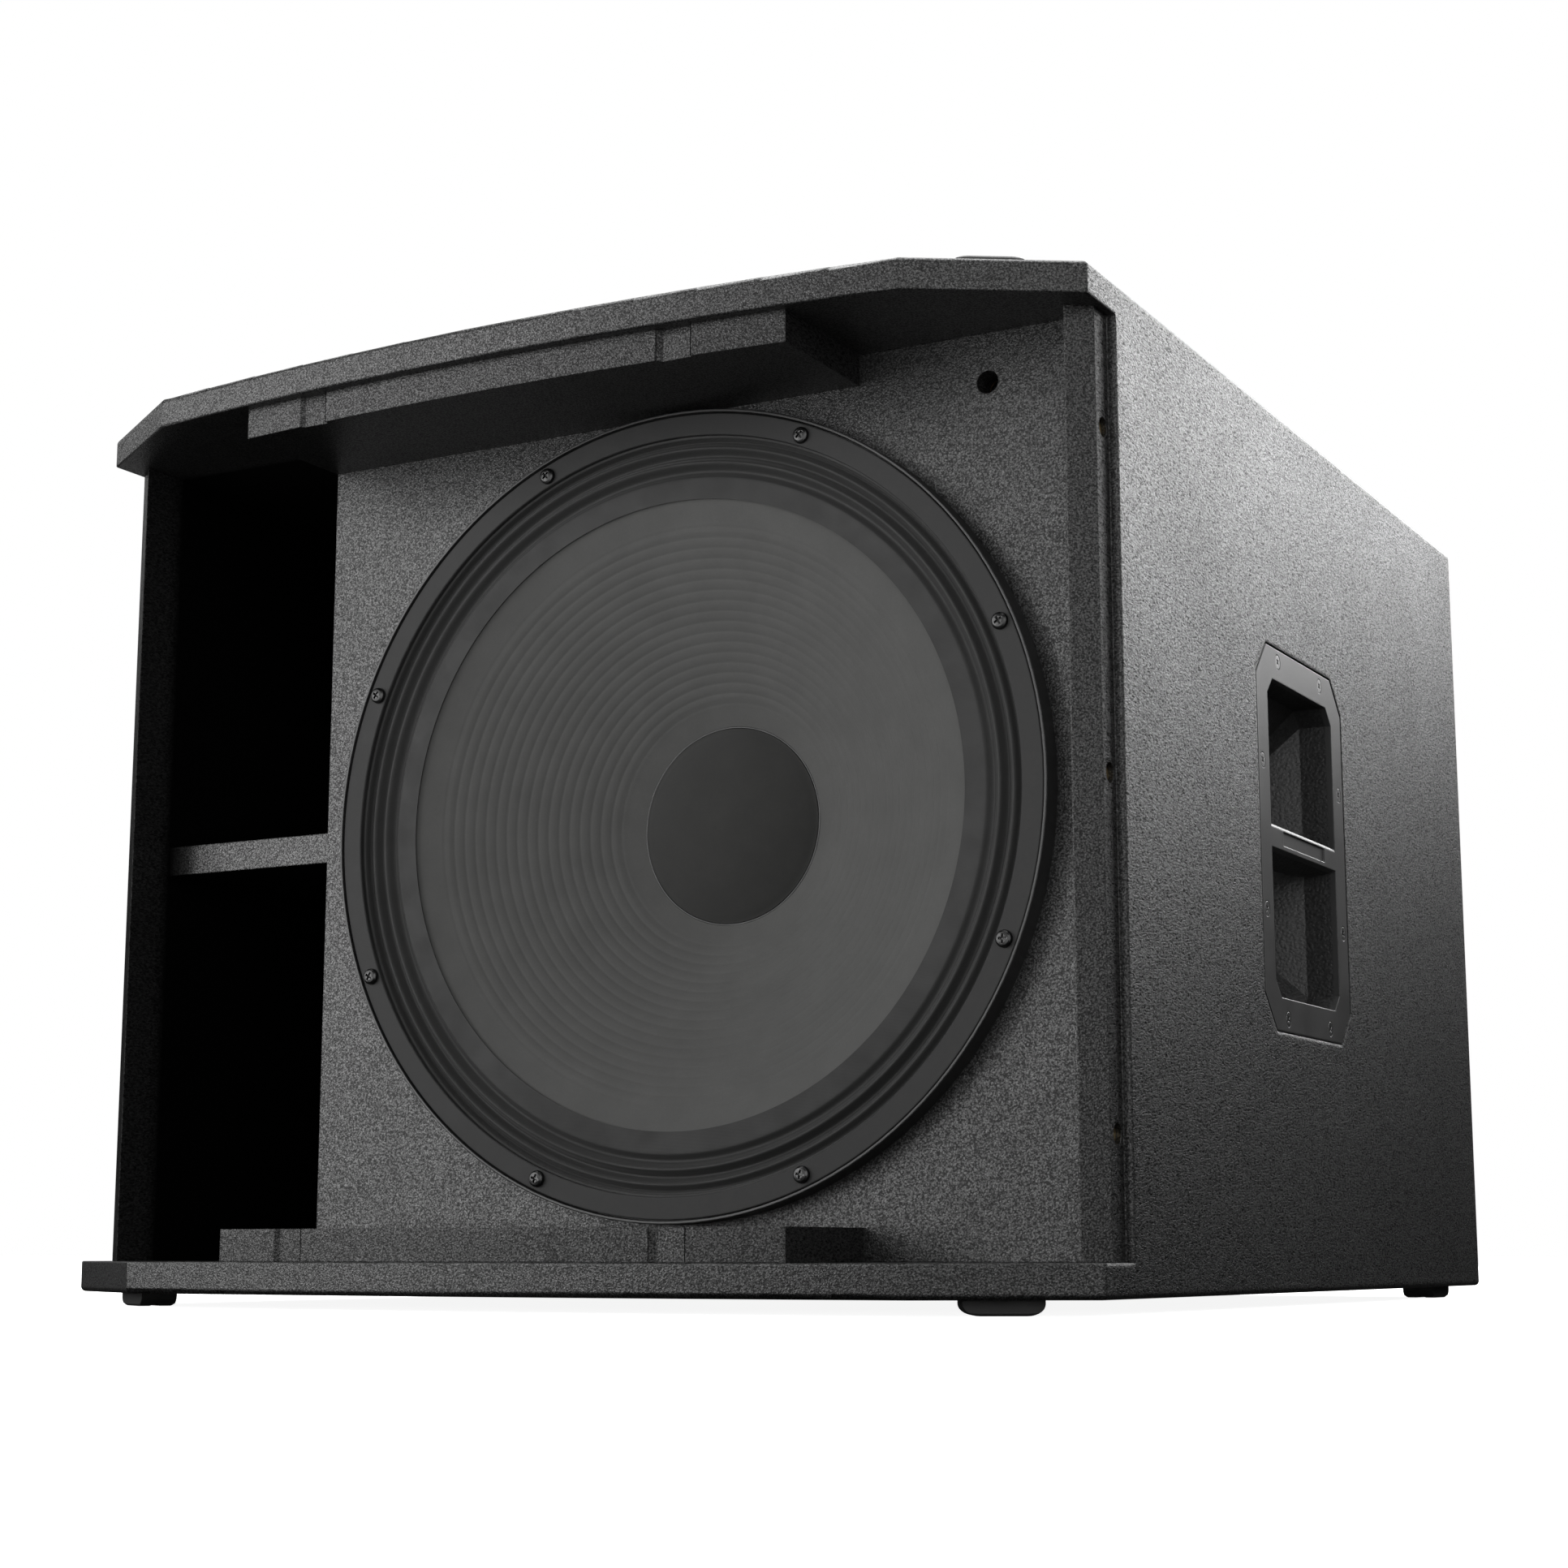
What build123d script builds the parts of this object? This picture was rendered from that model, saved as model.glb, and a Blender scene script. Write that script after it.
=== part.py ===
from build123d import *
import os
from math import sin, cos, radians, pi, sqrt

# 18-inch powered bass cabinet, millimetres.
# +X is the listener's right, +Y runs from the front to the back, +Z is up.
# The origin lies on the floor, midway between the front crown and the rear edge.

# ---------------------------------------------------------------------------
# driving dimensions
# ---------------------------------------------------------------------------
# overall cabinet
WIDTH = 666.0            # across the side panels
DEPTH = 768.0            # crown of the curved front edge to the rear edge
PANEL_H = 534.0          # underside of the bottom panel to the top of the top panel
PLY = 18.0               # plywood thickness
FOOT_H = 8.0             # rubber feet, and the stacking pads on top
EDGE_R = 3.0             # rounded-over outer edges
NOSE_R = 1.0             # eased inner edges at the front
CORNER_R = 2.0           # upright edges

HALF_W = WIDTH / 2
X_WALL = HALF_W - PLY    # inner face of the right side panel
Y_CROWN = -DEPTH / 2
Y_REAR = DEPTH / 2
Z_UNDER = FOOT_H                # underside of the bottom panel
Z_FLOOR = Z_UNDER + PLY         # its upper face
Z_TOP = Z_UNDER + PANEL_H       # top of the top panel
Z_CEIL = Z_TOP - PLY            # its underside
Z_MID = (Z_UNDER + Z_TOP) / 2

# plan shape of the top and bottom panels
Y_BAFFLE = Y_CROWN + 101.0   # front face of the baffle
Y_CORNER = Y_CROWN + 69.0    # where the straight sides meet the corner facets
X_FACET = 249.0              # inner end of each corner facet
Y_FACET = Y_CROWN + 16.5

# side panels: a tongue stands forward of the baffle, with a rebate outside it
TONGUE_T = 13.0
TONGUE_IN_Y = Y_BAFFLE - 21.7
TONGUE_OUT_Y = Y_BAFFLE - 10.8
REBATE_Y = Y_BAFFLE + 6.0
X_TONGUE = X_WALL + TONGUE_T     # outer face of the tongue
GRILLE_HOLE_Y = Y_BAFFLE - 1.5
GRILLE_HOLE_PITCH = 185.0
GRILLE_HOLE_R = 5.5              # wide mouth of each hole
INSERT_R = 3.6                   # body of the insert and its hole
INSERT_SEAT = 4.0                # depth of the wide mouth

# inside panels
X_PORT = -180.0          # right-hand edge of the port mouth
PORT_LEN = 463.0
SHELF_LEN = 196.0
SHELF_Y = Y_BAFFLE + 12.0
SHELF_Z = Z_MID - 0.5
LED_HOLE_R = 6.4
LED_HOLE_X, LED_HOLE_Z = 261.0, Z_UNDER + 488.0
CLEAT_X0, CLEAT_X1 = X_PORT, 183.0
CLEAT_SETBACK = 6.5
CLEAT_NOTCHES = ((-139.0, -119.0), (106.0, 127.0))   # x from, x to
BRACE_Y = 112.0
BRACE_WINDOW_HX, BRACE_WINDOW_HZ, BRACE_WINDOW_R = 165.0, 175.0, 45.0
REAR_RECESS = 30.0
PAD_T, PAD_GAP = 23.0, 2.0    # wadding thickness and its gap from the panel

# wood screws and their pilot holes
PILOT_R = 2.05
SHANK_R = 1.95
CSK_HEAD_R, CSK_HEAD_H, CSK_LEN = 4.25, 2.4, 15.0

# pole socket
POLE_R = 50.0            # flange
POLE_MINOR_R = 8.65      # bore
POLE_DEPTH = 36.0

# carrying handles: half sizes along Y and Z, and corner cuts
HANDLE_Y, HANDLE_Z = 17.8, Z_MID
HANDLE_HY, HANDLE_HZ, HANDLE_CY, HANDLE_CZ = 81.3, 115.8, 20.0, 21.0
OPEN_HY, OPEN_HZ, OPEN_C = 61.5, 96.0, 10.0
CUP_BACK_HY, CUP_BACK_HZ, CUP_BACK_C = 49.0, 54.0, 6.0
CUP_WALL = 2.5
CUP_THROAT = 21.0        # depth where the cup begins to taper
CUP_DEPTH = 62.0
HANDLE_FLANGE = 3.0      # depth of the flange recess
HANDLE_GAP = 0.9
X_HANDLE = HALF_W - 0.2  # outer face of the right handle
GRIP_Z0, GRIP_Z1 = HANDLE_Z - 7.0, HANDLE_Z + 7.5
GRIP_DROP = 5.0          # how far the grip hangs below GRIP_Z0 on the inside
GRIP_DEPTH = 24.0
HANDLE_SCREWS = [(HANDLE_Y + y, HANDLE_Z + z) for y, z in (
    (-40.2, 108.0), (40.2, 108.0), (-73.0, 43.0), (73.0, 43.0),
    (-73.0, -45.5), (73.0, -45.5), (-40.2, -108.0), (40.2, -108.0))]

# feet and stacking pads
FOOT_L, FOOT_W, FOOT_SOLE_L = 41.5, 21.0, 23.5
FOOT_RISE = 6.0          # height of the swept-up ends
FRONT_FOOT = (277.0, Y_CROWN + 67.5)
REAR_FOOT = (306.0, Y_REAR - 42.0)
FACET_DEG = 32.0         # front pads are turned with the facets
PAD_SCREW_OFF = 7.0
PAD_SCREW_SEAT = 4.6     # depth of the head's seat from the sole
CORNERS = {}             # name: x, y, turn in degrees
for side_name, sx in (("left", -1), ("right", 1)):
    CORNERS["front_" + side_name] = (sx * FRONT_FOOT[0], FRONT_FOOT[1], sx * FACET_DEG)
    CORNERS["rear_" + side_name] = (sx * REAR_FOOT[0], REAR_FOOT[1], 90.0)
PAD_SCREWS = [(x + s * PAD_SCREW_OFF * cos(radians(turn)), y + s * PAD_SCREW_OFF * sin(radians(turn)))
              for x, y, turn in CORNERS.values() for s in (-1, 1)]

# loudspeaker driver, on an axis along Y; depths run backwards from the baffle face
DRV_X, DRV_Z = 69.1, Z_MID
DRV_R = 229.0            # flange
CUTOUT_R = 212.0
BOLT_CIRCLE_R = 220.0
BOLT_ANGLES = [22.5 + 45 * i for i in range(8)]
BOLT_HOLE_R = 3.2        # through the driver's own rim
CONE_R, CAP_R, COIL_R = 180.0, 57.0, 50.0
CONE_DEPTH, CAP_DEPTH = -5.5, 58.0      # of the cone edge and the cap edge
CAP_RISE = 18.0
FLANGE_FRONT, GASKET_FRONT = -9.0, -13.0
RIM_R = DRV_R - 2.4      # outer edge of the gasket and surround
WINDOW_START, WINDOW_ARC, LEG_PITCH = 7.0, 31.0, 45.0   # basket windows, degrees
LEG_DEG = 3 * LEG_PITCH + WINDOW_START + (WINDOW_ARC + LEG_PITCH) / 2   # leg with the terminals

# amplifier module, seated on the rear panel
AMP_HX, AMP_HZ, AMP_T = 165.0, 205.0, 3.0
AMP_LAP = 20.0                  # overlap of the plate on the rear panel
AMP_INSET = 9.0                 # screws from the plate edge
Y_AMP = Y_REAR - REAR_RECESS    # rear face of the rear panel
Y_PLATE = Y_AMP + AMP_T         # outer face of the amplifier plate
AMP_SCREWS = [(sx * (AMP_HX - AMP_INSET), Z_MID + z) for sx in (-1, 1)
              for z in (-AMP_HZ + AMP_INSET, -68.0, 68.0, AMP_HZ - AMP_INSET)]
AMP_SCREWS += [(0.0, Z_MID + sz * (AMP_HZ - AMP_INSET)) for sz in (-1, 1)]
CLEARANCE = 0.2
ENC_X, ENC_Z = 74.0, Z_MID + 6.0
DISP_X, DISP_Z, DISP_HX, DISP_HZ = -18.0, ENC_Z, 44.0, 14.0
INPUTS = {"a": (104.0, Z_MID - 62.0), "b": (58.0, Z_MID - 62.0)}
LINKS = ((104.0, Z_MID - 122.0), (58.0, Z_MID - 122.0))
CONTACT_ANGLES = (90, 210, 330)
INLET_X, INLET_Z, INLET_HX, INLET_HZ = -98.0, Z_MID - 128.0, 14.1, 23.4
MOUTH_Z = INLET_Z - 11.5        # centre of the inlet mouth
FUSE_Z, FUSE_HX, FUSE_HZ = INLET_Z + 13.0, 12.0, 7.0
SWITCH_X, SWITCH_Z, SWITCH_HX, SWITCH_HZ = INLET_X, Z_MID - 62.0, 9.1, 13.1
PIVOT_Y = Y_PLATE - 4.0         # rocker pivot, inside the plate face
ROCK_TILT = 9.0
BOARD_Y, BOARD_T = Y_AMP - 46.0, 1.6    # rear face of the circuit board


# ---------------------------------------------------------------------------
# shape helpers
# ---------------------------------------------------------------------------
def block(x0, x1, y0, y1, z0, z1):
    centre = Pos((x0 + x1) / 2, (y0 + y1) / 2, (z0 + z1) / 2)
    return centre * Box(abs(x1 - x0), abs(y1 - y0), abs(z1 - z0))


def block_y(x, z, half_x, half_z, y0, y1, corner_r=0.0):
    """Block centred on (x, z), its edges along Y rounded if corner_r is given."""
    solid = block(x - half_x, x + half_x, y0, y1, z - half_z, z + half_z)
    return fillet(solid.edges().filter_by(Axis.Y), corner_r) if corner_r else solid


def rod(radius, start, end):
    start, end = Vector(*start), Vector(*end)
    along = end - start
    return Plane(origin=start, z_dir=along) * Cylinder(
        radius, along.length, align=(Align.CENTER, Align.CENTER, Align.MIN))


def rod_y(radius, x, z, y0, y1):
    return rod(radius, (x, y0, z), (x, y1, z))


def rod_z(radius, x, y, z0, z1):
    return rod(radius, (x, y, z0), (x, y, z1))


def polygon(points):
    return make_face(Polyline(*points, close=True))


def prism_xy(points, z0, z1):
    return extrude(Plane.XY.offset(z0) * polygon(points), z1 - z0)


def face_yz(points, x):
    return Plane(origin=(x, 0, 0), x_dir=(0, 1, 0), z_dir=(1, 0, 0)) * polygon(points)


def prism_yz(points, x0, x1):
    return extrude(face_yz(points, x0), x1 - x0)


def prism_xz(points, y0, y1):
    plane = Plane(origin=(0, y1, 0), x_dir=(1, 0, 0), z_dir=(0, -1, 0))
    return extrude(plane * polygon(points), y1 - y0)


def turned(points, arc=360.0):
    """Polygon given as (radius, height), turned about +Z."""
    return revolve(Plane.XZ * polygon(points), Axis.Z, arc)


def tube(path, radius):
    return sweep(Plane(origin=path @ 0, z_dir=path % 0) * Circle(radius), path)


def on_circle(radius, degrees):
    return radius * cos(radians(degrees)), radius * sin(radians(degrees))


def facing(point, direction, spin=0.0):
    """Location whose +Z points along direction."""
    return Plane(origin=point, z_dir=direction).location * Rot(0, 0, spin)


def group(shapes):
    return Compound(children=[s for shape in shapes for s in shape.solids()])


def flat_edges(solid, z):
    """Edges lying in the horizontal plane at z."""
    return [e for e in solid.edges() if abs(e.center().Z - z) < 0.001
            and abs(e.bounding_box().size.Z) < 0.001]


# ---------------------------------------------------------------------------
# screws point down -Z, with the head's seat (pan) or flat (countersunk) at z = 0
# ---------------------------------------------------------------------------
def cross_recess(size, width, depth, top):
    return Pos(0, 0, top - depth / 2) * (Box(size, width, depth) + Box(width, size, depth))


def pan_screw(head_r, head_h, shank_r, length):
    body = turned([
        (0, -length), (shank_r - 0.6, -length), (shank_r, -length + 0.8), (shank_r, 0),
        (head_r, 0), (head_r, head_h * 0.35), (head_r * 0.93, head_h * 0.66),
        (head_r * 0.74, head_h * 0.88), (head_r * 0.45, head_h), (0, head_h),
    ])
    return body - cross_recess(head_r * 1.05, head_r * 0.26, head_h * 0.62, head_h)


def csk_screw():
    body = turned([
        (0, -CSK_LEN), (SHANK_R - 0.9, -CSK_LEN + 1.0), (SHANK_R, -CSK_LEN + 2.6),
        (SHANK_R, -CSK_HEAD_H), (CSK_HEAD_R, -0.35), (CSK_HEAD_R, 0), (0, 0),
    ])
    return body - cross_recess(CSK_HEAD_R * 1.1, CSK_HEAD_R * 0.25, CSK_HEAD_H * 0.62, 0)


def countersink(head_r, hole_r):
    return turned([(0, 0.5), (head_r, 0.5), (head_r, -0.5), (hole_r, -2.75), (hole_r, -6), (0, -6)])


def countersunk_screws():
    screws = []
    for y, z in HANDLE_SCREWS:
        for sx in (-1, 1):
            place = facing((sx * (X_HANDLE - 0.05), y, z), (sx, 0, 0), 45)
            screws.append(place * csk_screw())
    for x, y in POLE_SCREWS:
        screws.append(facing((x, y, Z_TOP - 0.1), (0, 0, 1), 20) * csk_screw())
    return group(screws)


# ---------------------------------------------------------------------------
# top and bottom panels, and the pole socket
# ---------------------------------------------------------------------------
POLE_SCREWS = [on_circle(40, angle) for angle in (45, 135, 225, 315)]


def panel_blank(z_low):
    sides = Polyline(
        (X_FACET, Y_FACET), (HALF_W, Y_CORNER), (HALF_W, Y_REAR), (-HALF_W, Y_REAR),
        (-HALF_W, Y_CORNER), (-X_FACET, Y_FACET),
    )
    front = ThreePointArc((-X_FACET, Y_FACET), (0, Y_CROWN), (X_FACET, Y_FACET))
    solid = extrude(Pos(0, 0, z_low) * make_face(sides + front), PLY)
    upright = [e for e in solid.edges().filter_by(Axis.Z)
               if abs(abs(e.center().X) - HALF_W) < 0.01]
    return fillet(upright, CORNER_R)


def panel(z_outer, inward):
    """Panel with its outer face at z_outer; inward is +1 for the bottom, -1 for the top."""
    z_inner = z_outer + inward * PLY
    solid = panel_blank(min(z_outer, z_inner))
    solid = fillet(flat_edges(solid, z_outer), EDGE_R)
    nose = [e for e in flat_edges(solid, z_inner) if e.center().Y < Y_CORNER + 1.0]
    rounded = fillet(nose, NOSE_R)
    # the inner edge is eased only forward of the rebate; behind it, it stays square
    span_x, span_z = (-HALF_W - 1, HALF_W + 1), (Z_UNDER - 1, Z_TOP + 1)
    front = block(*span_x, Y_CROWN - 1, REBATE_Y, *span_z)
    behind = block(*span_x, REBATE_Y, Y_REAR + 1, *span_z)
    solid = (rounded & front) + (solid & behind)
    for x, y in PAD_SCREWS:
        solid -= rod_z(PILOT_R, x, y, z_outer - inward, z_outer + inward * 14.0)
    return solid


def top_panel():
    solid = panel(Z_TOP, -1)
    solid -= rod_z(POLE_R + 0.3, 0, 0, Z_TOP - 4.2, Z_TOP + 1)
    solid -= rod_z(22.4, 0, 0, Z_CEIL - 1, Z_TOP)
    for x, y in POLE_SCREWS:
        solid -= rod_z(PILOT_R, x, y, Z_TOP - 4.2, Z_TOP - 17.0)
    return solid


def pole_socket():
    solid = Pos(0, 0, Z_TOP) * turned([
        (POLE_MINOR_R, -0.9), (POLE_MINOR_R + 0.9, -0.05), (20.0, -0.05), (POLE_R - 1.0, -0.05),
        (POLE_R, -1.0), (POLE_R, -4.0), (22.0, -4.0), (22.0, -42.0),
        (20.5, -43.5), (0, -43.5), (0, -POLE_DEPTH - 3.0), (POLE_MINOR_R, -POLE_DEPTH),
    ])
    for x, y in POLE_SCREWS:
        solid -= Pos(x, y, Z_TOP - 0.05) * countersink(4.4, 2.2)
    return solid


# ---------------------------------------------------------------------------
# side panels and carrying handles, modelled on the right
# ---------------------------------------------------------------------------
GRILLE_HOLES = [Z_MID + i * GRILLE_HOLE_PITCH for i in (-1, 0, 1)]


def octagon(half_y, half_z, cut_y, cut_z):
    """Rectangle about the handle centre with cut corners, as (y, z)."""
    y0, y1 = HANDLE_Y - half_y, HANDLE_Y + half_y
    z0, z1 = HANDLE_Z - half_z, HANDLE_Z + half_z
    return [
        (y0, z0 + cut_z), (y0 + cut_y, z0), (y1 - cut_y, z0), (y1, z0 + cut_z),
        (y1, z1 - cut_z), (y1 - cut_y, z1), (y0 + cut_y, z1), (y0, z1 - cut_z),
    ]


def right_side_panel():
    side = prism_xy([
        (X_WALL, TONGUE_IN_Y), (X_TONGUE, TONGUE_OUT_Y), (X_TONGUE, REBATE_Y),
        (HALF_W, REBATE_Y), (HALF_W, Y_REAR), (X_WALL, Y_REAR),
    ], Z_FLOOR, Z_CEIL)
    outer = [e for e in side.edges().filter_by(Axis.Z) if e.center().X > HALF_W - 0.1]
    side = fillet(outer, CORNER_R)
    side -= prism_yz(octagon(HANDLE_HY + HANDLE_GAP, HANDLE_HZ + HANDLE_GAP, HANDLE_CY, HANDLE_CZ),
                     HALF_W - HANDLE_FLANGE, HALF_W + 1)
    grow = CUP_WALL + 0.6
    side -= prism_yz(octagon(OPEN_HY + grow, OPEN_HZ + grow, OPEN_C + 1.2, OPEN_C + 1.2),
                     X_WALL - 1, HALF_W)
    for y, z in HANDLE_SCREWS:
        side -= rod(PILOT_R, (HALF_W, y, z), (HALF_W - 17.0, y, z))
    for z in GRILLE_HOLES:
        mouth = (X_TONGUE, GRILLE_HOLE_Y, z)
        side -= rod(GRILLE_HOLE_R, mouth, (X_TONGUE - INSERT_SEAT, GRILLE_HOLE_Y, z))
        side -= rod(INSERT_R, mouth, (X_WALL + 0.8, GRILLE_HOLE_Y, z))
    return side


def grille_inserts():
    def along_x(radius, from_face, to_face, z):
        return rod(radius, (X_TONGUE - from_face, GRILLE_HOLE_Y, z),
                   (X_TONGUE - to_face, GRILLE_HOLE_Y, z))

    inserts = []
    for z in GRILLE_HOLES:
        insert = along_x(INSERT_R, INSERT_SEAT, 12.0, z)
        insert += along_x(5.2, INSERT_SEAT - 1.0, INSERT_SEAT, z)
        insert -= along_x(2.1, -1, 13.0, z)
        inserts.append(insert)
    return group(inserts + [mirror(s, Plane.YZ) for s in inserts])


def cup_body(wall, extra_cut, x_mouth, x_back):
    """Straight throat running into a tapered back; wall grows it all round."""
    x_throat = HALF_W - CUP_THROAT
    cut, back_cut = OPEN_C + extra_cut, CUP_BACK_C + extra_cut
    opening = octagon(OPEN_HY + wall, OPEN_HZ + wall, cut, cut)
    back = octagon(CUP_BACK_HY + wall, CUP_BACK_HZ + wall, back_cut, back_cut)
    body = prism_yz(opening, x_throat, x_mouth)
    return body + loft([face_yz(opening, x_throat), face_yz(back, x_back)], ruled=True)


def handle_grip():
    """Hand grip across the opening: flat outside, bowed inside, sloped underneath."""
    y_front, y_back = HANDLE_Y - OPEN_HY - 0.5, HANDLE_Y + OPEN_HY + 0.5
    x_end, z_low = HALF_W - 2.0, GRIP_Z0 - GRIP_DROP
    plan = make_face(
        Polyline((x_end, y_back), (X_HANDLE, y_back), (X_HANDLE, y_front), (x_end, y_front))
        + ThreePointArc((x_end, y_front), (HALF_W - GRIP_DEPTH, HANDLE_Y), (x_end, y_back)))
    grip = extrude(Pos(0, 0, z_low) * plan, GRIP_Z1 - z_low)
    grip -= prism_xz([
        (HALF_W + 1, GRIP_Z0 + 0.4), (HALF_W + 1, z_low - 1), (HALF_W - 14.0, z_low - 1),
        (HALF_W - 14.0, z_low), (X_HANDLE, GRIP_Z0),
    ], HANDLE_Y - 80, HANDLE_Y + 80)
    top_edge = [e for e in grip.edges() if abs(e.center().Z - GRIP_Z1) < 0.01
                and abs(e.center().X - X_HANDLE) < 0.01]
    return fillet(top_edge, 3.0)


def right_handle():
    flange = prism_yz(octagon(HANDLE_HY, HANDLE_HZ, HANDLE_CY, HANDLE_CZ),
                      HALF_W - HANDLE_FLANGE, X_HANDLE)
    rim = [e for e in flange.edges() if abs(e.center().X - X_HANDLE) < 0.001
           and e.bounding_box().size.X < 0.001]
    flange = chamfer(rim, 0.5)
    x_back = HALF_W - CUP_DEPTH
    outer = cup_body(CUP_WALL, 1.0, HALF_W - HANDLE_FLANGE, x_back - CUP_WALL)
    inner = cup_body(0.0, 0.0, HALF_W + 1, x_back)
    handle = flange + outer - inner
    handle += handle_grip()
    # blank badge recess
    handle -= block(X_HANDLE - 1.2, HALF_W + 1, HANDLE_Y - 39.7, HANDLE_Y + 39.7,
                    HANDLE_Z - 4.2, HANDLE_Z + 4.4)
    for y, z in HANDLE_SCREWS:
        handle -= facing((X_HANDLE, y, z), (1, 0, 0)) * countersink(4.65, 2.15)
    return handle


# ---------------------------------------------------------------------------
# baffle, port, cleats, brace, rear panel and wadding
# ---------------------------------------------------------------------------
def drv(item):
    """Driver frame: local +Z runs backwards along +Y, 0 at the baffle face."""
    return Location((DRV_X, Y_BAFFLE, DRV_Z), (-90, 0, 0)) * item


def bolt_holes(radius, mid_depth, length):
    """Eight cylinders on the bolt circle, in the driver frame."""
    return [Rot(0, 0, angle) * Pos(BOLT_CIRCLE_R, 0, mid_depth) * Cylinder(radius, length)
            for angle in BOLT_ANGLES]


def front_baffle():
    baffle = block(X_PORT, X_WALL, Y_BAFFLE, Y_BAFFLE + PLY, Z_FLOOR, Z_CEIL)
    baffle -= drv(Pos(0, 0, PLY / 2) * Cylinder(CUTOUT_R, PLY + 2))
    for hole in bolt_holes(4.0, PLY / 2, PLY + 2):
        baffle -= drv(hole)
    return baffle - rod_y(LED_HOLE_R, LED_HOLE_X, LED_HOLE_Z, Y_BAFFLE - 1, Y_BAFFLE + PLY + 1)


def port_wall():
    return block(X_PORT, X_PORT + PLY, Y_BAFFLE + PLY, Y_BAFFLE + PORT_LEN, Z_FLOOR, Z_CEIL)


def port_shelf():
    return block(-X_WALL, X_PORT, SHELF_Y, SHELF_Y + SHELF_LEN,
                 SHELF_Z - PLY / 2, SHELF_Z + PLY / 2)


def cleat_y(x):
    """Front edge of a cleat: an arc concentric with the panel's front edge."""
    sagitta = Y_FACET - Y_CROWN
    crown_r = (X_FACET ** 2 + sagitta ** 2) / (2 * sagitta)
    return Y_CROWN + crown_r - sqrt((crown_r - CLEAT_SETBACK) ** 2 - x ** 2)


def grille_cleat(z_low):
    left, right = (CLEAT_X0, cleat_y(CLEAT_X0)), (CLEAT_X1, cleat_y(CLEAT_X1))
    x_mid = (CLEAT_X0 + CLEAT_X1) / 2
    line = Polyline(right, (CLEAT_X1, Y_BAFFLE), (CLEAT_X0, Y_BAFFLE), left)
    nose = ThreePointArc(left, (x_mid, cleat_y(x_mid)), right)
    solid = extrude(Pos(0, 0, z_low) * make_face(line + nose), PLY)
    # two shallow notches across the front edge
    for x0, x1 in CLEAT_NOTCHES:
        y = cleat_y((x0 + x1) / 2)
        solid -= prism_xy([(x0, y - 6), (x1 + 0.01, y - 6), (x1, y + 2.6), (x0 + 3.0, y + 2.6),
                           (x0, y + 0.1)], z_low - 1, z_low + PLY + 1)
    return solid


def window_brace():
    brace = block(X_PORT + PLY, X_WALL, BRACE_Y, BRACE_Y + PLY, Z_FLOOR, Z_CEIL)
    x_mid = (X_PORT + PLY + X_WALL) / 2
    return brace - block_y(x_mid, Z_MID, BRACE_WINDOW_HX, BRACE_WINDOW_HZ,
                           BRACE_Y - 1, BRACE_Y + PLY + 1, BRACE_WINDOW_R)


def rear_panel():
    rear = block(-X_WALL, X_WALL, Y_AMP - PLY, Y_AMP, Z_FLOOR, Z_CEIL)
    rear -= block_y(0, Z_MID, AMP_HX - AMP_LAP, AMP_HZ - AMP_LAP, Y_AMP - PLY - 1, Y_AMP + 1, 8.0)
    for x, z in AMP_SCREWS:
        rear -= rod_y(PILOT_R, x, z, Y_AMP + 1, Y_AMP - 15.0)
    return rear


def damping_pad(y_back, z_low):
    """Polyester wadding, loose against a panel."""
    return fillet(block(-150, 300, -235, y_back, z_low, z_low + PAD_T).edges(), 8.0)


# ---------------------------------------------------------------------------
# rubber feet and stacking pads: flat sole, swept-up ends, a groove along the sole
# ---------------------------------------------------------------------------
def rubber_pad():
    """Sole at z = 0, fixing face at z = FOOT_H, long side along X."""
    half_l, half_sole, steps = FOOT_L / 2, FOOT_SOLE_L / 2, 7
    angles = [radians(90 * i / steps) for i in range(steps + 1)]
    curve = [(half_sole + (half_l - half_sole) * sin(a), FOOT_RISE * (1 - cos(a))) for a in angles]
    outline = curve + [(half_l, FOOT_H), (-half_l, FOOT_H)] + [(-x, z) for x, z in reversed(curve)]
    body = prism_xz(outline, -FOOT_W / 2, FOOT_W / 2)
    long_edges = [e for e in body.edges() if abs(e.center().Z) < 0.01
                  and abs(abs(e.center().Y) - FOOT_W / 2) < 0.01]
    body = chamfer(long_edges, 1.2)
    body -= prism_yz([(-4.2, -1), (-3.4, 0), (-2.0, 1.7), (2.0, 1.7), (3.4, 0), (4.2, -1)], -40, 40)
    for s in (-1, 1):
        body -= Pos(s * PAD_SCREW_OFF, 0, 0) * turned([
            (0, -1), (3.6, -1), (3.6, PAD_SCREW_SEAT), (2.1, PAD_SCREW_SEAT), (2.1, 12), (0, 12)])
    return body


def pad_screws():
    screws = []
    for x, y in PAD_SCREWS:
        for z, up in ((PAD_SCREW_SEAT, -1), (Z_TOP + FOOT_H - PAD_SCREW_SEAT, 1)):
            screws.append(facing((x, y, z), (0, 0, up), 15) * pan_screw(3.2, 2.0, SHANK_R, 17.0))
    return group(screws)


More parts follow.
